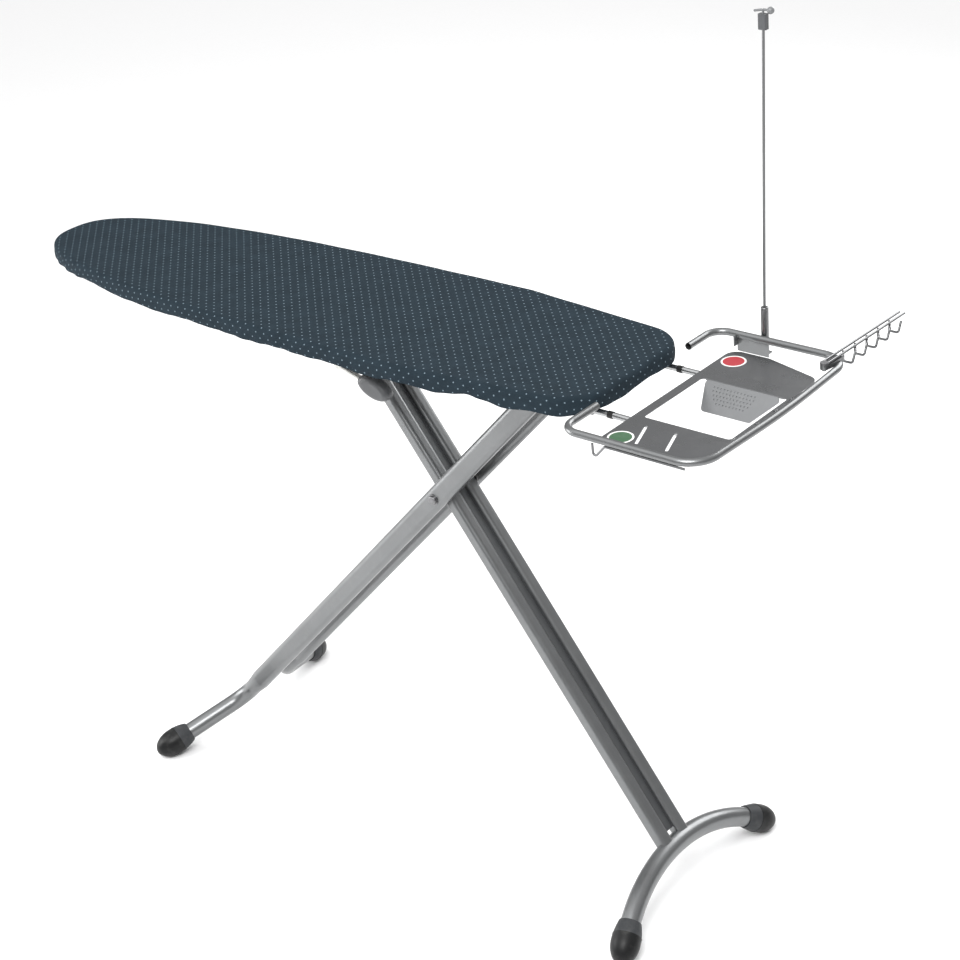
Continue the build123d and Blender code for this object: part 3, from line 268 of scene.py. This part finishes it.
def soft_top(settings, inset, top, bottom, edge, hem, wavy, count=RIM_COUNT):
    """A shell over the board: rings from the spine out to the edge, round it, down the side and in under it.

    A top ring is spine + t (crown - spine); the edge is a quarter circle; the side bulges by a small sine and
    is puckered by sums of sines, more towards the hem; the hem turns in. The top is uneven by three crossed
    waves. wavy is 1 for cloth and 0 for a plain shell. Returns the points, the flat cloth coordinates and the
    grid's shape."""
    rim, normal, spine, places = outline(settings, count)
    rim = rim - normal * inset
    crown = rim - normal * edge
    rings, flat = [], []
    relief = settings.pad_relief * wavy
    for t in np.concatenate([np.linspace(0, 0.72, 19), np.linspace(0.76, 0.97, 10)]):
        xy = spine + t * (crown - spine)
        rings.append(np.column_stack([xy, np.full(count, top)]))
        flat.append(xy)
    for angle in np.linspace(0, np.pi / 2, EDGE_RINGS):
        xy = crown + normal * edge * np.sin(angle)
        rings.append(np.column_stack([xy, np.full(count, top - edge * (1 - np.cos(angle)))]))
        flat.append(crown + normal * edge * angle)
    side_length = top - edge - bottom
    pucker = settings.side_pucker * wavy * ripples(places, 7, *PUCKER_WAVES)
    sag = settings.hem_wave * wavy * ripples(places, 3, *SAG_WAVES, 9)
    slack = settings.hem_sag * wavy * (rim[:, 1] < middle_y) * sum(
        share * bump(rim[:, 0], middle_x + place, width) for place, width, share in SLACK_PLACES)
    hem_z = bottom + np.minimum(sag, SAG_LIMIT) - slack
    for share in np.linspace(0.12, 0.88, 7):
        fullness = SIDE_FULLNESS * wavy * np.sin(np.pi * share)
        xy = rim + normal * (fullness - SIDE_EASE + pucker * share ** 1.5)[:, None]
        z = (top - edge) + share * (hem_z - top + edge)
        rings.append(np.column_stack([xy, z]))
        flat.append(rim + normal * (edge * (np.pi / 2 - 1) + share * side_length))
    for angle in np.linspace(0.25, np.pi / 2, 5):
        xy = rim + normal * (pucker - HEM_FOLD * (1 - np.cos(angle)))[:, None]
        z = hem_z + 0.10 * side_length * (1 - np.sin(angle))
        rings.append(np.column_stack([xy, z]))
        flat.append(rim + normal * (edge * (np.pi / 2 - 1) + side_length + HEM_FOLD * angle))
    gather = settings.side_pucker * 1.6 * wavy * ripples(places, 11, *GATHER_WAVES)
    for share in np.linspace(0.2, 1.0, 5):
        xy = rim - normal * (HEM_FOLD + share * hem - pucker * (1 - share))[:, None]
        z = hem_z + (HEM_LIFT + gather) * share + (bottom - hem_z + 0.001) * share
        rings.append(np.column_stack([xy, z]))
        flat.append(rim + normal * (edge * (np.pi / 2 - 1) + side_length + 2 * HEM_FOLD + share * hem))
    points, cloth = np.stack(rings), np.stack(flat)
    x, y = points[..., 0], points[..., 1]
    height = (np.sin(23.1 * x + 1.3) * np.sin(31.7 * y + 0.4) + 0.6 * np.sin(51.3 * x - 19.0 * y)
              + 0.5 * np.sin(11.7 * x + 43.0 * y + 2.0)) / 2.1
    above = np.clip((points[..., 2] - (top - edge)) / edge, 0, 1)
    points[..., 2] += relief * (height - 1) * above
    return points, cloth, points.shape[:2]


def closed_tube(name, path, radius, body, sides=10):
    """A tube round a closed path, its last ring joined to its first."""
    step = np.roll(path, -1, axis=0) - np.roll(path, 1, axis=0)
    step /= np.linalg.norm(step, axis=1, keepdims=True)
    side = np.cross(step, np.array([0.0, 0.0, 1.0]))
    side /= np.linalg.norm(side, axis=1, keepdims=True)
    up = np.cross(side, step)
    angle = np.linspace(0, 2 * np.pi, sides, endpoint=False)
    width = np.broadcast_to(radius, len(path)).astype(float)[:, None, None]
    rings = path[:, None] + width * (np.cos(angle)[None, :, None] * side[:, None]
                                     + np.sin(angle)[None, :, None] * up[:, None])
    rings = np.concatenate([rings, rings[:1]])
    piece = mesh_piece(name, rings, grid_faces(len(path) + 1, sides, True), body)
    weld_doubles(piece)
    face_outwards(piece)
    return piece


def face_outwards(piece):
    """Turns the faces of a closed piece outwards."""
    shell = bmesh.new()
    shell.from_mesh(piece.data)
    bmesh.ops.recalc_face_normals(shell, faces=shell.faces)
    shell.to_mesh(piece.data)
    shell.free()


# ---------------------------------------------------------------- shader groups
def shader_group(name, inputs, outputs):
    """An empty node group with named sockets; each is (name, kind, default)."""
    group = bpy.data.node_groups.new(name, "ShaderNodeTree")
    for socket, kind, default in inputs:
        made = group.interface.new_socket(name=socket, in_out="INPUT", socket_type=f"NodeSocket{kind}")
        if default is not None:
            made.default_value = default
    for socket, kind in outputs:
        group.interface.new_socket(name=socket, in_out="OUTPUT", socket_type=f"NodeSocket{kind}")
    return group, group.nodes.new("NodeGroupInput"), group.nodes.new("NodeGroupOutput")


def math_node(tree, operation, first, second=None):
    """A math node fed by sockets or plain numbers."""
    node = tree.nodes.new("ShaderNodeMath")
    node.operation = operation
    for index, value in enumerate((first, second)):
        if isinstance(value, bpy.types.NodeSocket):
            tree.links.new(value, node.inputs[index])
        elif value is not None:
            node.inputs[index].default_value = value
    return node.outputs[0]


def noise(tree, vector, scale, detail=3.0, roughness=0.55):
    """Noise value at a scale, given as a socket or a number."""
    node = tree.nodes.new("ShaderNodeTexNoise")
    tree.links.new(vector, node.inputs["Vector"])
    if isinstance(scale, bpy.types.NodeSocket):
        tree.links.new(scale, node.inputs["Scale"])
    else:
        node.inputs["Scale"].default_value = scale
    node.inputs["Detail"].default_value = detail
    node.inputs["Roughness"].default_value = roughness
    return node.outputs["Fac"]


def spread_value(tree, value, low, high, from_low=0.3, from_high=0.7):
    """Maps a noise value to a range of its own."""
    node = tree.nodes.new("ShaderNodeMapRange")
    tree.links.new(value, node.inputs["Value"])
    node.inputs["From Min"].default_value = from_low
    node.inputs["From Max"].default_value = from_high
    for socket, end in (("To Min", low), ("To Max", high)):
        if isinstance(end, bpy.types.NodeSocket):
            tree.links.new(end, node.inputs[socket])
        else:
            node.inputs[socket].default_value = end
    return node.outputs["Result"]


def mix_colour(tree, share, first, second):
    """Mixes two colours, given as sockets or as plain colours."""
    node = tree.nodes.new("ShaderNodeMix")
    node.data_type = "RGBA"
    tree.links.new(share, node.inputs["Factor"])
    for socket, value in ((node.inputs[6], first), (node.inputs[7], second)):
        if isinstance(value, bpy.types.NodeSocket):
            tree.links.new(value, socket)
        else:
            socket.default_value = (*value, 1.0)
    return node.outputs[2]


def build_surface_group():
    """Even finish with fine orange peel, soft smudges and a little dust: colour, roughness and height."""
    group, given, out = shader_group(
        "Painted Surface",
        [("Vector", "Vector", None), ("Base", "Color", (0.5, 0.5, 0.5, 1)), ("Roughness", "Float", 0.35),
         ("Smudge", "Float", 0.08), ("Variation", "Float", 0.12), ("Grain Scale", "Float", 900.0)],
        [("Color", "Color"), ("Roughness", "Float"), ("Height", "Float")])
    vector = given.outputs["Vector"]
    broad = noise(group, vector, 9.0, 4.0)
    fine = noise(group, vector, given.outputs["Grain Scale"], 2.0)
    shade = spread_value(group, broad, 0.0, given.outputs["Variation"])
    dark = mix_colour(group, shade, given.outputs["Base"], (0.02, 0.02, 0.02))
    dust = spread_value(group, noise(group, vector, 60.0, 5.0), 0.0, 0.05, 0.52, 0.8)
    group.links.new(mix_colour(group, dust, dark, (0.5, 0.49, 0.46)), out.inputs["Color"])
    smudge = spread_value(group, noise(group, vector, 22.0, 5.0), -0.5, 0.5)
    change = math_node(group, "MULTIPLY", smudge, given.outputs["Smudge"])
    group.links.new(math_node(group, "ADD", given.outputs["Roughness"], change), out.inputs["Roughness"])
    group.links.new(fine, out.inputs["Height"])
    return group


def build_brushed_group():
    """Long fine scratches: noise stretched along one axis of the vector it is given."""
    group, given, out = shader_group(
        "Brushed Lines",
        [("Vector", "Vector", None), ("Base", "Color", (0.5, 0.5, 0.5, 1)), ("Roughness", "Float", 0.3),
         ("Contrast", "Float", 0.1)],
        [("Color", "Color"), ("Roughness", "Float"), ("Height", "Float")])
    lines = noise(group, given.outputs["Vector"], 1.0, 4.0, 0.7)
    change = math_node(group, "MULTIPLY", spread_value(group, lines, -0.5, 0.5), given.outputs["Contrast"])
    group.links.new(math_node(group, "ADD", given.outputs["Roughness"], change), out.inputs["Roughness"])
    shade = spread_value(group, lines, 0.0, given.outputs["Contrast"])
    group.links.new(mix_colour(group, shade, given.outputs["Base"], (0.05, 0.05, 0.05)), out.inputs["Color"])
    group.links.new(lines, out.inputs["Height"])
    return group


def build_dots_group():
    """Staggered woven dots on flat cloth coordinates: 1 inside a dot and 0 outside, with soft rims."""
    group, given, out = shader_group(
        "Pin Dots",
        [("Vector", "Vector", None), ("Column", "Float", 0.0125), ("Row", "Float", 0.0088),
         ("Size", "Float", 0.0016)],
        [("Mask", "Float")])
    split = group.nodes.new("ShaderNodeSeparateXYZ")
    group.links.new(given.outputs["Vector"], split.inputs[0])
    columns = math_node(group, "DIVIDE", split.outputs["X"], given.outputs["Column"])
    index = math_node(group, "FLOOR", columns)
    parity = math_node(group, "MODULO", math_node(group, "ABSOLUTE", index), 2.0)
    odd = math_node(group, "MULTIPLY", parity, 0.5)
    rows = math_node(group, "ADD", math_node(group, "DIVIDE", split.outputs["Y"], given.outputs["Row"]), odd)
    away = []
    for cell, pitch in ((columns, "Column"), (rows, "Row")):
        inside = math_node(group, "SUBTRACT", math_node(group, "FRACT", cell), 0.5)
        away.append(math_node(group, "MULTIPLY", inside, given.outputs[pitch]))
    squares = [math_node(group, "MULTIPLY", part, part) for part in away]
    distance = math_node(group, "SQRT", math_node(group, "ADD", *squares))
    rim = math_node(group, "DIVIDE", distance, given.outputs["Size"])
    soft = spread_value(group, rim, 1.0, 0.0, 0.35, 0.62)
    group.links.new(soft, out.inputs["Mask"])
    return group


def build_weave_group():
    """Plain weave on flat cloth coordinates: crossing sine ridges, broken up by slubs."""
    group, given, out = shader_group(
        "Cotton Weave",
        [("Vector", "Vector", None), ("Threads", "Float", 5200.0)],
        [("Height", "Float"), ("Shade", "Float")])
    split = group.nodes.new("ShaderNodeSeparateXYZ")
    group.links.new(given.outputs["Vector"], split.inputs[0])
    ridges = []
    for axis in ("X", "Y"):
        wave = math_node(group, "SINE", math_node(group, "MULTIPLY", split.outputs[axis],
                                                  given.outputs["Threads"]))
        ridges.append(math_node(group, "ABSOLUTE", wave))
    slubs = noise(group, given.outputs["Vector"], 420.0, 4.0)
    weave = math_node(group, "ADD", math_node(group, "MAXIMUM", *ridges), slubs)
    group.links.new(weave, out.inputs["Height"])
    group.links.new(spread_value(group, noise(group, given.outputs["Vector"], 34.0, 5.0), 0.0, 1.0),
                    out.inputs["Shade"])
    return group


groups = {}


def shader_groups():
    """Builds the shared groups once."""
    if not groups:
        groups.update(surface=build_surface_group(), brushed=build_brushed_group(), dots=build_dots_group(),
                      weave=build_weave_group())
    return groups


def new_material(name):
    """A material with its Principled shader, ready for links."""
    material = bpy.data.materials.new(name)
    material.use_nodes = True
    tree = material.node_tree
    return material, tree, tree.nodes["Principled BSDF"]


def place_group(tree, group, vector, **values):
    """A group node fed with a vector and its own values."""
    node = tree.nodes.new("ShaderNodeGroup")
    node.node_tree = group
    tree.links.new(vector, node.inputs["Vector"])
    for name, value in values.items():
        socket = node.inputs[name.replace("_", " ")]
        if isinstance(value, (int, float)):
            socket.default_value = value
        else:
            socket.default_value = (*value, 1.0)
    return node


def object_vector(tree, scale=(1.0, 1.0, 1.0), turn=(0.0, 0.0, 0.0)):
    """Object coordinates, stretched and turned."""
    coordinates = tree.nodes.new("ShaderNodeTexCoord")
    mapping = tree.nodes.new("ShaderNodeMapping")
    mapping.inputs["Scale"].default_value = scale
    mapping.inputs["Rotation"].default_value = turn
    tree.links.new(coordinates.outputs["Object"], mapping.inputs["Vector"])
    return mapping.outputs["Vector"]


def add_bump(tree, shader, height, strength, distance):
    """Bump from a height into the shader's normal."""
    node = tree.nodes.new("ShaderNodeBump")
    node.inputs["Strength"].default_value = strength
    node.inputs["Distance"].default_value = distance
    tree.links.new(height, node.inputs["Height"])
    tree.links.new(node.outputs["Normal"], shader.inputs["Normal"])


def surface_material(name, base, roughness, metallic=0.0, specular=0.5, coat=0.0, smudge=0.08, variation=0.12,
                     grain=900.0, bump_strength=0.15, bump_depth=0.0002, sheen=0.0):
    """Paint, plastic or rubber from the shared surface group."""
    material, tree, shader = new_material(name)
    finish = place_group(tree, shader_groups()["surface"], object_vector(tree), Base=tuple(base),
                         Roughness=roughness, Smudge=smudge, Variation=variation, Grain_Scale=grain)
    tree.links.new(finish.outputs["Color"], shader.inputs["Base Color"])
    tree.links.new(finish.outputs["Roughness"], shader.inputs["Roughness"])
    shader.inputs["Metallic"].default_value = metallic
    shader.inputs["Specular IOR Level"].default_value = specular
    shader.inputs["Coat Weight"].default_value = coat
    shader.inputs["Coat Roughness"].default_value = 0.18
    shader.inputs["Sheen Weight"].default_value = sheen
    add_bump(tree, shader, finish.outputs["Height"], bump_strength, bump_depth)
    return material


def brushed_material(name, base, roughness, stretch, contrast=0.1, metallic=1.0):
    """Drawn or plated metal from the shared brushed group, with its lines along one axis."""
    material, tree, shader = new_material(name)
    finish = place_group(tree, shader_groups()["brushed"], object_vector(tree, scale=stretch), Base=tuple(base),
                         Roughness=roughness, Contrast=contrast)
    tree.links.new(finish.outputs["Color"], shader.inputs["Base Color"])
    tree.links.new(finish.outputs["Roughness"], shader.inputs["Roughness"])
    shader.inputs["Metallic"].default_value = metallic
    add_bump(tree, shader, finish.outputs["Height"], 0.08, 0.0001)
    return material


def sticker_material(name, tint, rim):
    """Glossy sticker: a plain disc of colour with a thin pale ring, measured from the disc's middle."""
    low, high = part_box(name)
    material, tree, shader = new_material(f"{name}_print")
    coordinates = tree.nodes.new("ShaderNodeTexCoord")
    away = tree.nodes.new("ShaderNodeVectorMath")
    away.operation = "DISTANCE"
    tree.links.new(coordinates.outputs["Object"], away.inputs[0])
    away.inputs[1].default_value = (low + high) / 2
    radius = (high.x - low.x) / 2
    ring = spread_value(tree, away.outputs["Value"], 0.0, 1.0, radius * 0.84, radius * 0.87)
    grain = place_group(tree, shader_groups()["surface"], coordinates.outputs["Object"], Base=tuple(tint),
                        Roughness=0.3, Smudge=0.1, Variation=0.08, Grain_Scale=900.0)
    tree.links.new(mix_colour(tree, ring, grain.outputs["Color"], tuple(rim)), shader.inputs["Base Color"])
    tree.links.new(grain.outputs["Roughness"], shader.inputs["Roughness"])
    return material


def finish_nodes(material, *names):
    """Gives CAD nodes a material in place of their plain one."""
    for name in names:
        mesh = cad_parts[name].data
        mesh.materials.clear()
        mesh.materials.append(material)


def looking(place, sight, roll):
    """The matrix of a camera or lamp at a place, looking along a direction and rolled about it."""
    level = np.array([-sight[1], sight[0], 0.0])
    level = -level / np.linalg.norm(level)
    upward = np.cross(level, sight)
    right = np.cos(roll) * level + np.sin(roll) * upward
    up = -np.sin(roll) * level + np.cos(roll) * upward
    matrix = Matrix.Identity(4)
    for row in range(3):
        matrix[row][0], matrix[row][1], matrix[row][2], matrix[row][3] = (
            right[row], up[row], -sight[row], place[row])
    return matrix


# ---------------------------------------------------------------- operators
class BoardOperator(bpy.types.Operator):
    """Shared settings of the board's operators."""
    bl_options = {"REGISTER", "UNDO"}


class IRONBOARD_OT_cover(BoardOperator):
    """Cotton cover drawn over the pad, its hem turned in round a drawcord"""
    bl_idname = "ironboard.cover"
    bl_label = "Cover"

    def execute(self, context):
        top = context.scene.board_top
        points, cloth, shape = soft_top(top, COVER_INSET, cover_high[2], cover_low[2], top.edge_round,
                                        top.hem_depth, 1.0)
        piece = mesh_piece("board_cover", points, grid_faces(*shape, True), "board", uv=cloth)
        weld_doubles(piece)
        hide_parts("cover")
        material, tree, shader = new_material("dotted_cotton")
        flat = tree.nodes.new("ShaderNodeUVMap")
        flat.uv_map = "flat_cloth"
        dots = place_group(tree, shader_groups()["dots"], flat.outputs["UV"], Column=top.dot_column,
                           Row=top.dot_row, Size=top.dot_size)
        weave = place_group(tree, shader_groups()["weave"], flat.outputs["UV"])
        ground = mix_colour(tree, weave.outputs["Shade"], tuple(top.cloth), tuple(c * 1.35 for c in top.cloth))
        tree.links.new(mix_colour(tree, dots.outputs["Mask"], ground, tuple(top.dots)),
                       shader.inputs["Base Color"])
        shader.inputs["Roughness"].default_value = 0.95
        shader.inputs["Specular IOR Level"].default_value = 0.10
        shader.inputs["Sheen Weight"].default_value = 0.02
        shader.inputs["Sheen Roughness"].default_value = 0.45
        shader.inputs["Sheen Tint"].default_value = (0.42, 0.55, 0.66, 1.0)
        add_bump(tree, shader, weave.outputs["Height"], 0.35, 0.0003)
        piece.data.materials.append(material)
        return {"FINISHED"}


class IRONBOARD_OT_pad(BoardOperator):
    """Felt and foam pad under the cover"""
    bl_idname = "ironboard.pad"
    bl_label = "Pad"

    def execute(self, context):
        top = context.scene.board_top
        points, cloth, shape = soft_top(top, PAD_INSET, pad_high[2] - PAD_DROP, pad_low[2] + PAD_LIFT,
                                        top.edge_round - PAD_EDGE_LESS, PAD_TURN, 0.0)
        piece = mesh_piece("board_pad", points, grid_faces(*shape, True), "board", uv=cloth)
        weld_doubles(piece)
        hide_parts("pad")
        piece.data.materials.append(surface_material(
            "grey_felt", top.felt, 0.95, specular=0.2, variation=0.3, grain=260.0, bump_strength=0.6,
            bump_depth=0.0006, sheen=0.3))
        return {"FINISHED"}


class IRONBOARD_OT_drawcord(BoardOperator):
    """Stitched casing of the drawcord along the hem's inner edge"""
    bl_idname = "ironboard.drawcord"
    bl_label = "Drawcord casing"

    def execute(self, context):
        top = context.scene.board_top
        rim, normal, _, places = outline(top, CORD_COUNT)
        gather = ripples(places, 11, *GATHER_WAVES)
        inner = rim - normal * (CASING_INSET + top.hem_depth)
        path = np.column_stack([inner, cover_low[2] + CASING_LIFT + top.side_pucker * gather])
        piece = closed_tube("drawcord_casing", path, top.drawcord * (1 + 0.12 * gather), "board")
        piece.data.materials.append(surface_material(
            "casing_cotton", top.cloth, 0.85, specular=0.3, grain=1400.0, bump_strength=0.5, sheen=0.2))
        return {"FINISHED"}


class IRONBOARD_OT_finishes(BoardOperator):
    """Paint, plating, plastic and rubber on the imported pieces"""
    bl_idname = "ironboard.finishes"
    bl_label = "Finishes"

    def execute(self, context):
        metal, plastic = context.scene.board_metal, context.scene.board_plastic
        silver = surface_material("silver_paint", metal.silver, 0.33, metallic=0.85, coat=0.1, smudge=0.06,
                                  grain=1500.0, bump_strength=0.10)
        finish_nodes(silver, "near_splayed_tube", "far_splayed_tube", "hinge_lugs", "near_t_tube", "far_t_tube",
                     "foot_arch", "rest_frame")
        # Darker than the silver as painted shade for the web's recess between the T-leg's tubes.
        shaded_web = surface_material("web_paint", metal.shaded_web, 0.40, metallic=0.7, smudge=0.06, grain=1500.0,
                               bump_strength=0.10)
        finish_nodes(shaded_web, "upper_t_web", "lower_t_web")
        sheet = surface_material("sheet_paint", metal.sheet, 0.42, metallic=0.35, grain=1100.0)
        finish_nodes(sheet, "top_sheet", "cross_brace_1", "cross_brace_2", "cross_brace_3", "cross_brace_4",
                     "near_rail", "far_rail", "near_rod_socket", "far_rod_socket")
        plate = surface_material("plate_paint", metal.plate, 0.30, metallic=0.7, coat=0.2, smudge=0.12)
        finish_nodes(plate, "rest_plate")
        finish_nodes(silver, "mast_bracket", "rack_bracket")
        flap = surface_material("flap_paint", metal.flap, 0.34, metallic=0.7, coat=0.2, smudge=0.1)
        finish_nodes(flap, "steam_flap")
        zinc = brushed_material("zinc_plate", metal.zinc, 0.34, (300.0, 20.0, 300.0))
        finish_nodes(zinc, "leg_axle", "slide_axle", "pivot_sleeve", "lever_shaft", "lever_bar", "lever_spring",
                     "latch_plates")
        bolt = brushed_material("bolt_steel", metal.bolt, 0.38, (260.0, 260.0, 260.0), contrast=0.16)
        finish_nodes(bolt, "pivot_bolt", "bolt_washer", "pivot_nut", "rack_pin")
        rivet = brushed_material("rivet_steel", metal.chrome, 0.22, (260.0, 260.0, 260.0), contrast=0.08)
        finish_nodes(rivet, "rest_rivets")
        chrome = brushed_material("chrome_plate", metal.chrome, 0.24, (12.0, 320.0, 320.0), contrast=0.05)
        finish_nodes(chrome, "near_rest_rod", "far_rest_rod")
        mast = brushed_material("mast_steel", metal.mast, 0.3, (300.0, 300.0, 14.0), contrast=0.12)
        finish_nodes(mast, "mast_rod", "mast_sleeve", "wire_rail")
        rack = brushed_material("rack_steel", metal.mast, 0.26, (300.0, 16.0, 300.0), contrast=0.12)
        finish_nodes(rack, "rack_wires", "hanger_hooks")
        collar = surface_material("collar_plastic", plastic.collar, 0.55, specular=0.3, grain=600.0,
                                  bump_strength=0.3)
        finish_nodes(collar, "near_splayed_collar", "far_splayed_collar", "near_t_collar", "far_t_collar")
        rubber = surface_material("foot_rubber", plastic.rubber, 0.42, specular=0.22, variation=0.3,
                                  smudge=0.12, grain=480.0, bump_strength=0.3, bump_depth=0.0003)
        finish_nodes(rubber, "near_splayed_tip", "far_splayed_tip", "near_t_tip", "far_t_tip", "rod_bands")
        black = surface_material("black_plastic", plastic.black, 0.5, grain=700.0)
        finish_nodes(black, "axle_spacers", "pivot_spacers", "rollers")
        grip = surface_material("grip_plastic", plastic.grip, 0.42, grain=520.0, bump_strength=0.35)
        finish_nodes(grip, "lever_grip")
        head = surface_material("head_plastic", plastic.head, 0.4, grain=700.0)
        finish_nodes(head, "mast_head")
        clip = surface_material("clip_plastic", plastic.clip, 0.36, grain=700.0)
        finish_nodes(clip, "cable_clip")
        for name, tint in (("red_label", plastic.red), ("green_label", plastic.green)):
            finish_nodes(sticker_material(name, tint, plastic.sticker_rim), name)
        return {"FINISHED"}


class IRONBOARD_OT_stage(BoardOperator):
    """Pale floor, soft lights and the camera"""
    bl_idname = "ironboard.stage"
    bl_label = "Stage"

    def execute(self, context):
        stage = context.scene.board_stage
        corners = FLOOR_REACH * np.array([[-1, -1, 0], [1, -1, 0], [1, 1, 0], [-1, 1, 0]])
        mesh = bpy.data.meshes.new("floor")
        mesh.from_pydata(corners, [], [(0, 1, 2, 3)])
        floor = bpy.data.objects.new("floor", mesh)
        context.scene.collection.objects.link(floor)
        material, tree, shader = new_material("floor_paint")
        finish = place_group(tree, shader_groups()["surface"], object_vector(tree), Base=tuple(stage.floor),
                             Roughness=0.8, Smudge=0.05, Variation=0.004, Grain_Scale=300.0)
        tree.links.new(finish.outputs["Color"], shader.inputs["Base Color"])
        shader.inputs["Roughness"].default_value = 0.85
        shader.inputs["Specular IOR Level"].default_value = 0.1
        mesh.materials.append(material)
        world = bpy.data.worlds.new("soft_sky")
        world.use_nodes = True
        background = world.node_tree.nodes["Background"]
        sky = world.node_tree
        direction = sky.nodes.new("ShaderNodeTexCoord")
        parts = sky.nodes.new("ShaderNodeSeparateXYZ")
        sky.links.new(direction.outputs["Generated"], parts.inputs[0])
        height = spread_value(sky, parts.outputs["Z"], 0.0, 1.0, -0.05, 0.75)
        sky.links.new(mix_colour(sky, height, (0.30, 0.30, 0.31), (1.0, 1.0, 1.0)), background.inputs["Color"])
        background.inputs["Strength"].default_value = stage.sky
        context.scene.world = world
        for name, place, size, power in (
                ("key_light", (1.2, -2.2, 3.4), 2.2, stage.key_power),
                ("fill_light", (-2.6, -1.6, 1.2), 2.0, stage.fill_power),
                ("rim_light", (0.6, 2.8, 2.4), 2.4, stage.rim_power)):
            lamp = bpy.data.lights.new(name, "AREA")
            lamp.energy = power
            lamp.shape = "DISK"
            lamp.size = size
            light = bpy.data.objects.new(name, lamp)
            away = np.array(place) - np.array([0.0, 0.0, LIGHT_AIM])
            light.matrix_world = looking(np.array(place), -away / np.linalg.norm(away), 0.0)
            context.scene.collection.objects.link(light)
        lamp = bpy.data.lights.new("daylight", "SUN")
        lamp.energy = stage.daylight
        lamp.angle = np.radians(70.0)
        light = bpy.data.objects.new("daylight", lamp)
        light.matrix_world = looking(np.array([0.0, 0.0, 4.0]), np.array([0.25, 0.30, -0.92]), 0.0)
        context.scene.collection.objects.link(light)
        lens = bpy.data.cameras.new("camera")
        lens.lens = stage.lens
        lens.sensor_width = 36.0
        lens.clip_end = 60.0
        camera = bpy.data.objects.new("camera", lens)
        place = np.array([middle_x + stage.camera_x, middle_y + stage.camera_y, stage.camera_z])
        sight = np.array([-np.sin(stage.yaw) * np.cos(stage.pitch), np.cos(stage.yaw) * np.cos(stage.pitch),
                          -np.sin(stage.pitch)])
        camera.matrix_world = looking(place, sight, stage.roll)
        context.scene.collection.objects.link(camera)
        context.scene.camera = camera
        context.scene.view_settings.view_transform = "Standard"
        return {"FINISHED"}


class IRONBOARD_PT_panel(bpy.types.Panel):
    """Lists the board's pieces in the sidebar"""
    bl_idname = "IRONBOARD_PT_panel"
    bl_label = "Ironing Board"
    bl_space_type = "VIEW_3D"
    bl_region_type = "UI"
    bl_category = "Ironing Board"

    def draw(self, context):
        for operator in operators:
            self.layout.operator(operator.bl_idname)


operators = (IRONBOARD_OT_pad, IRONBOARD_OT_cover, IRONBOARD_OT_drawcord, IRONBOARD_OT_finishes,
             IRONBOARD_OT_stage)
settings_classes = {"board_top": BoardTopSettings, "board_metal": MetalSettings,
                    "board_plastic": PlasticSettings, "board_stage": StageSettings}


def register():
    for name, group in settings_classes.items():
        bpy.utils.register_class(group)
        setattr(bpy.types.Scene, name, bpy.props.PointerProperty(type=group))
    for operator in operators:
        bpy.utils.register_class(operator)
    bpy.utils.register_class(IRONBOARD_PT_panel)


def unregister():
    bpy.utils.unregister_class(IRONBOARD_PT_panel)
    for operator in reversed(operators):
        bpy.utils.unregister_class(operator)
    for name, group in settings_classes.items():
        delattr(bpy.types.Scene, name)
        bpy.utils.unregister_class(group)


def main():
    register()
    bpy.ops.ironboard.pad()
    bpy.ops.ironboard.cover()
    bpy.ops.ironboard.drawcord()
    bpy.ops.ironboard.finishes()
    bpy.ops.ironboard.stage()


if __name__ == "__main__":
    main()
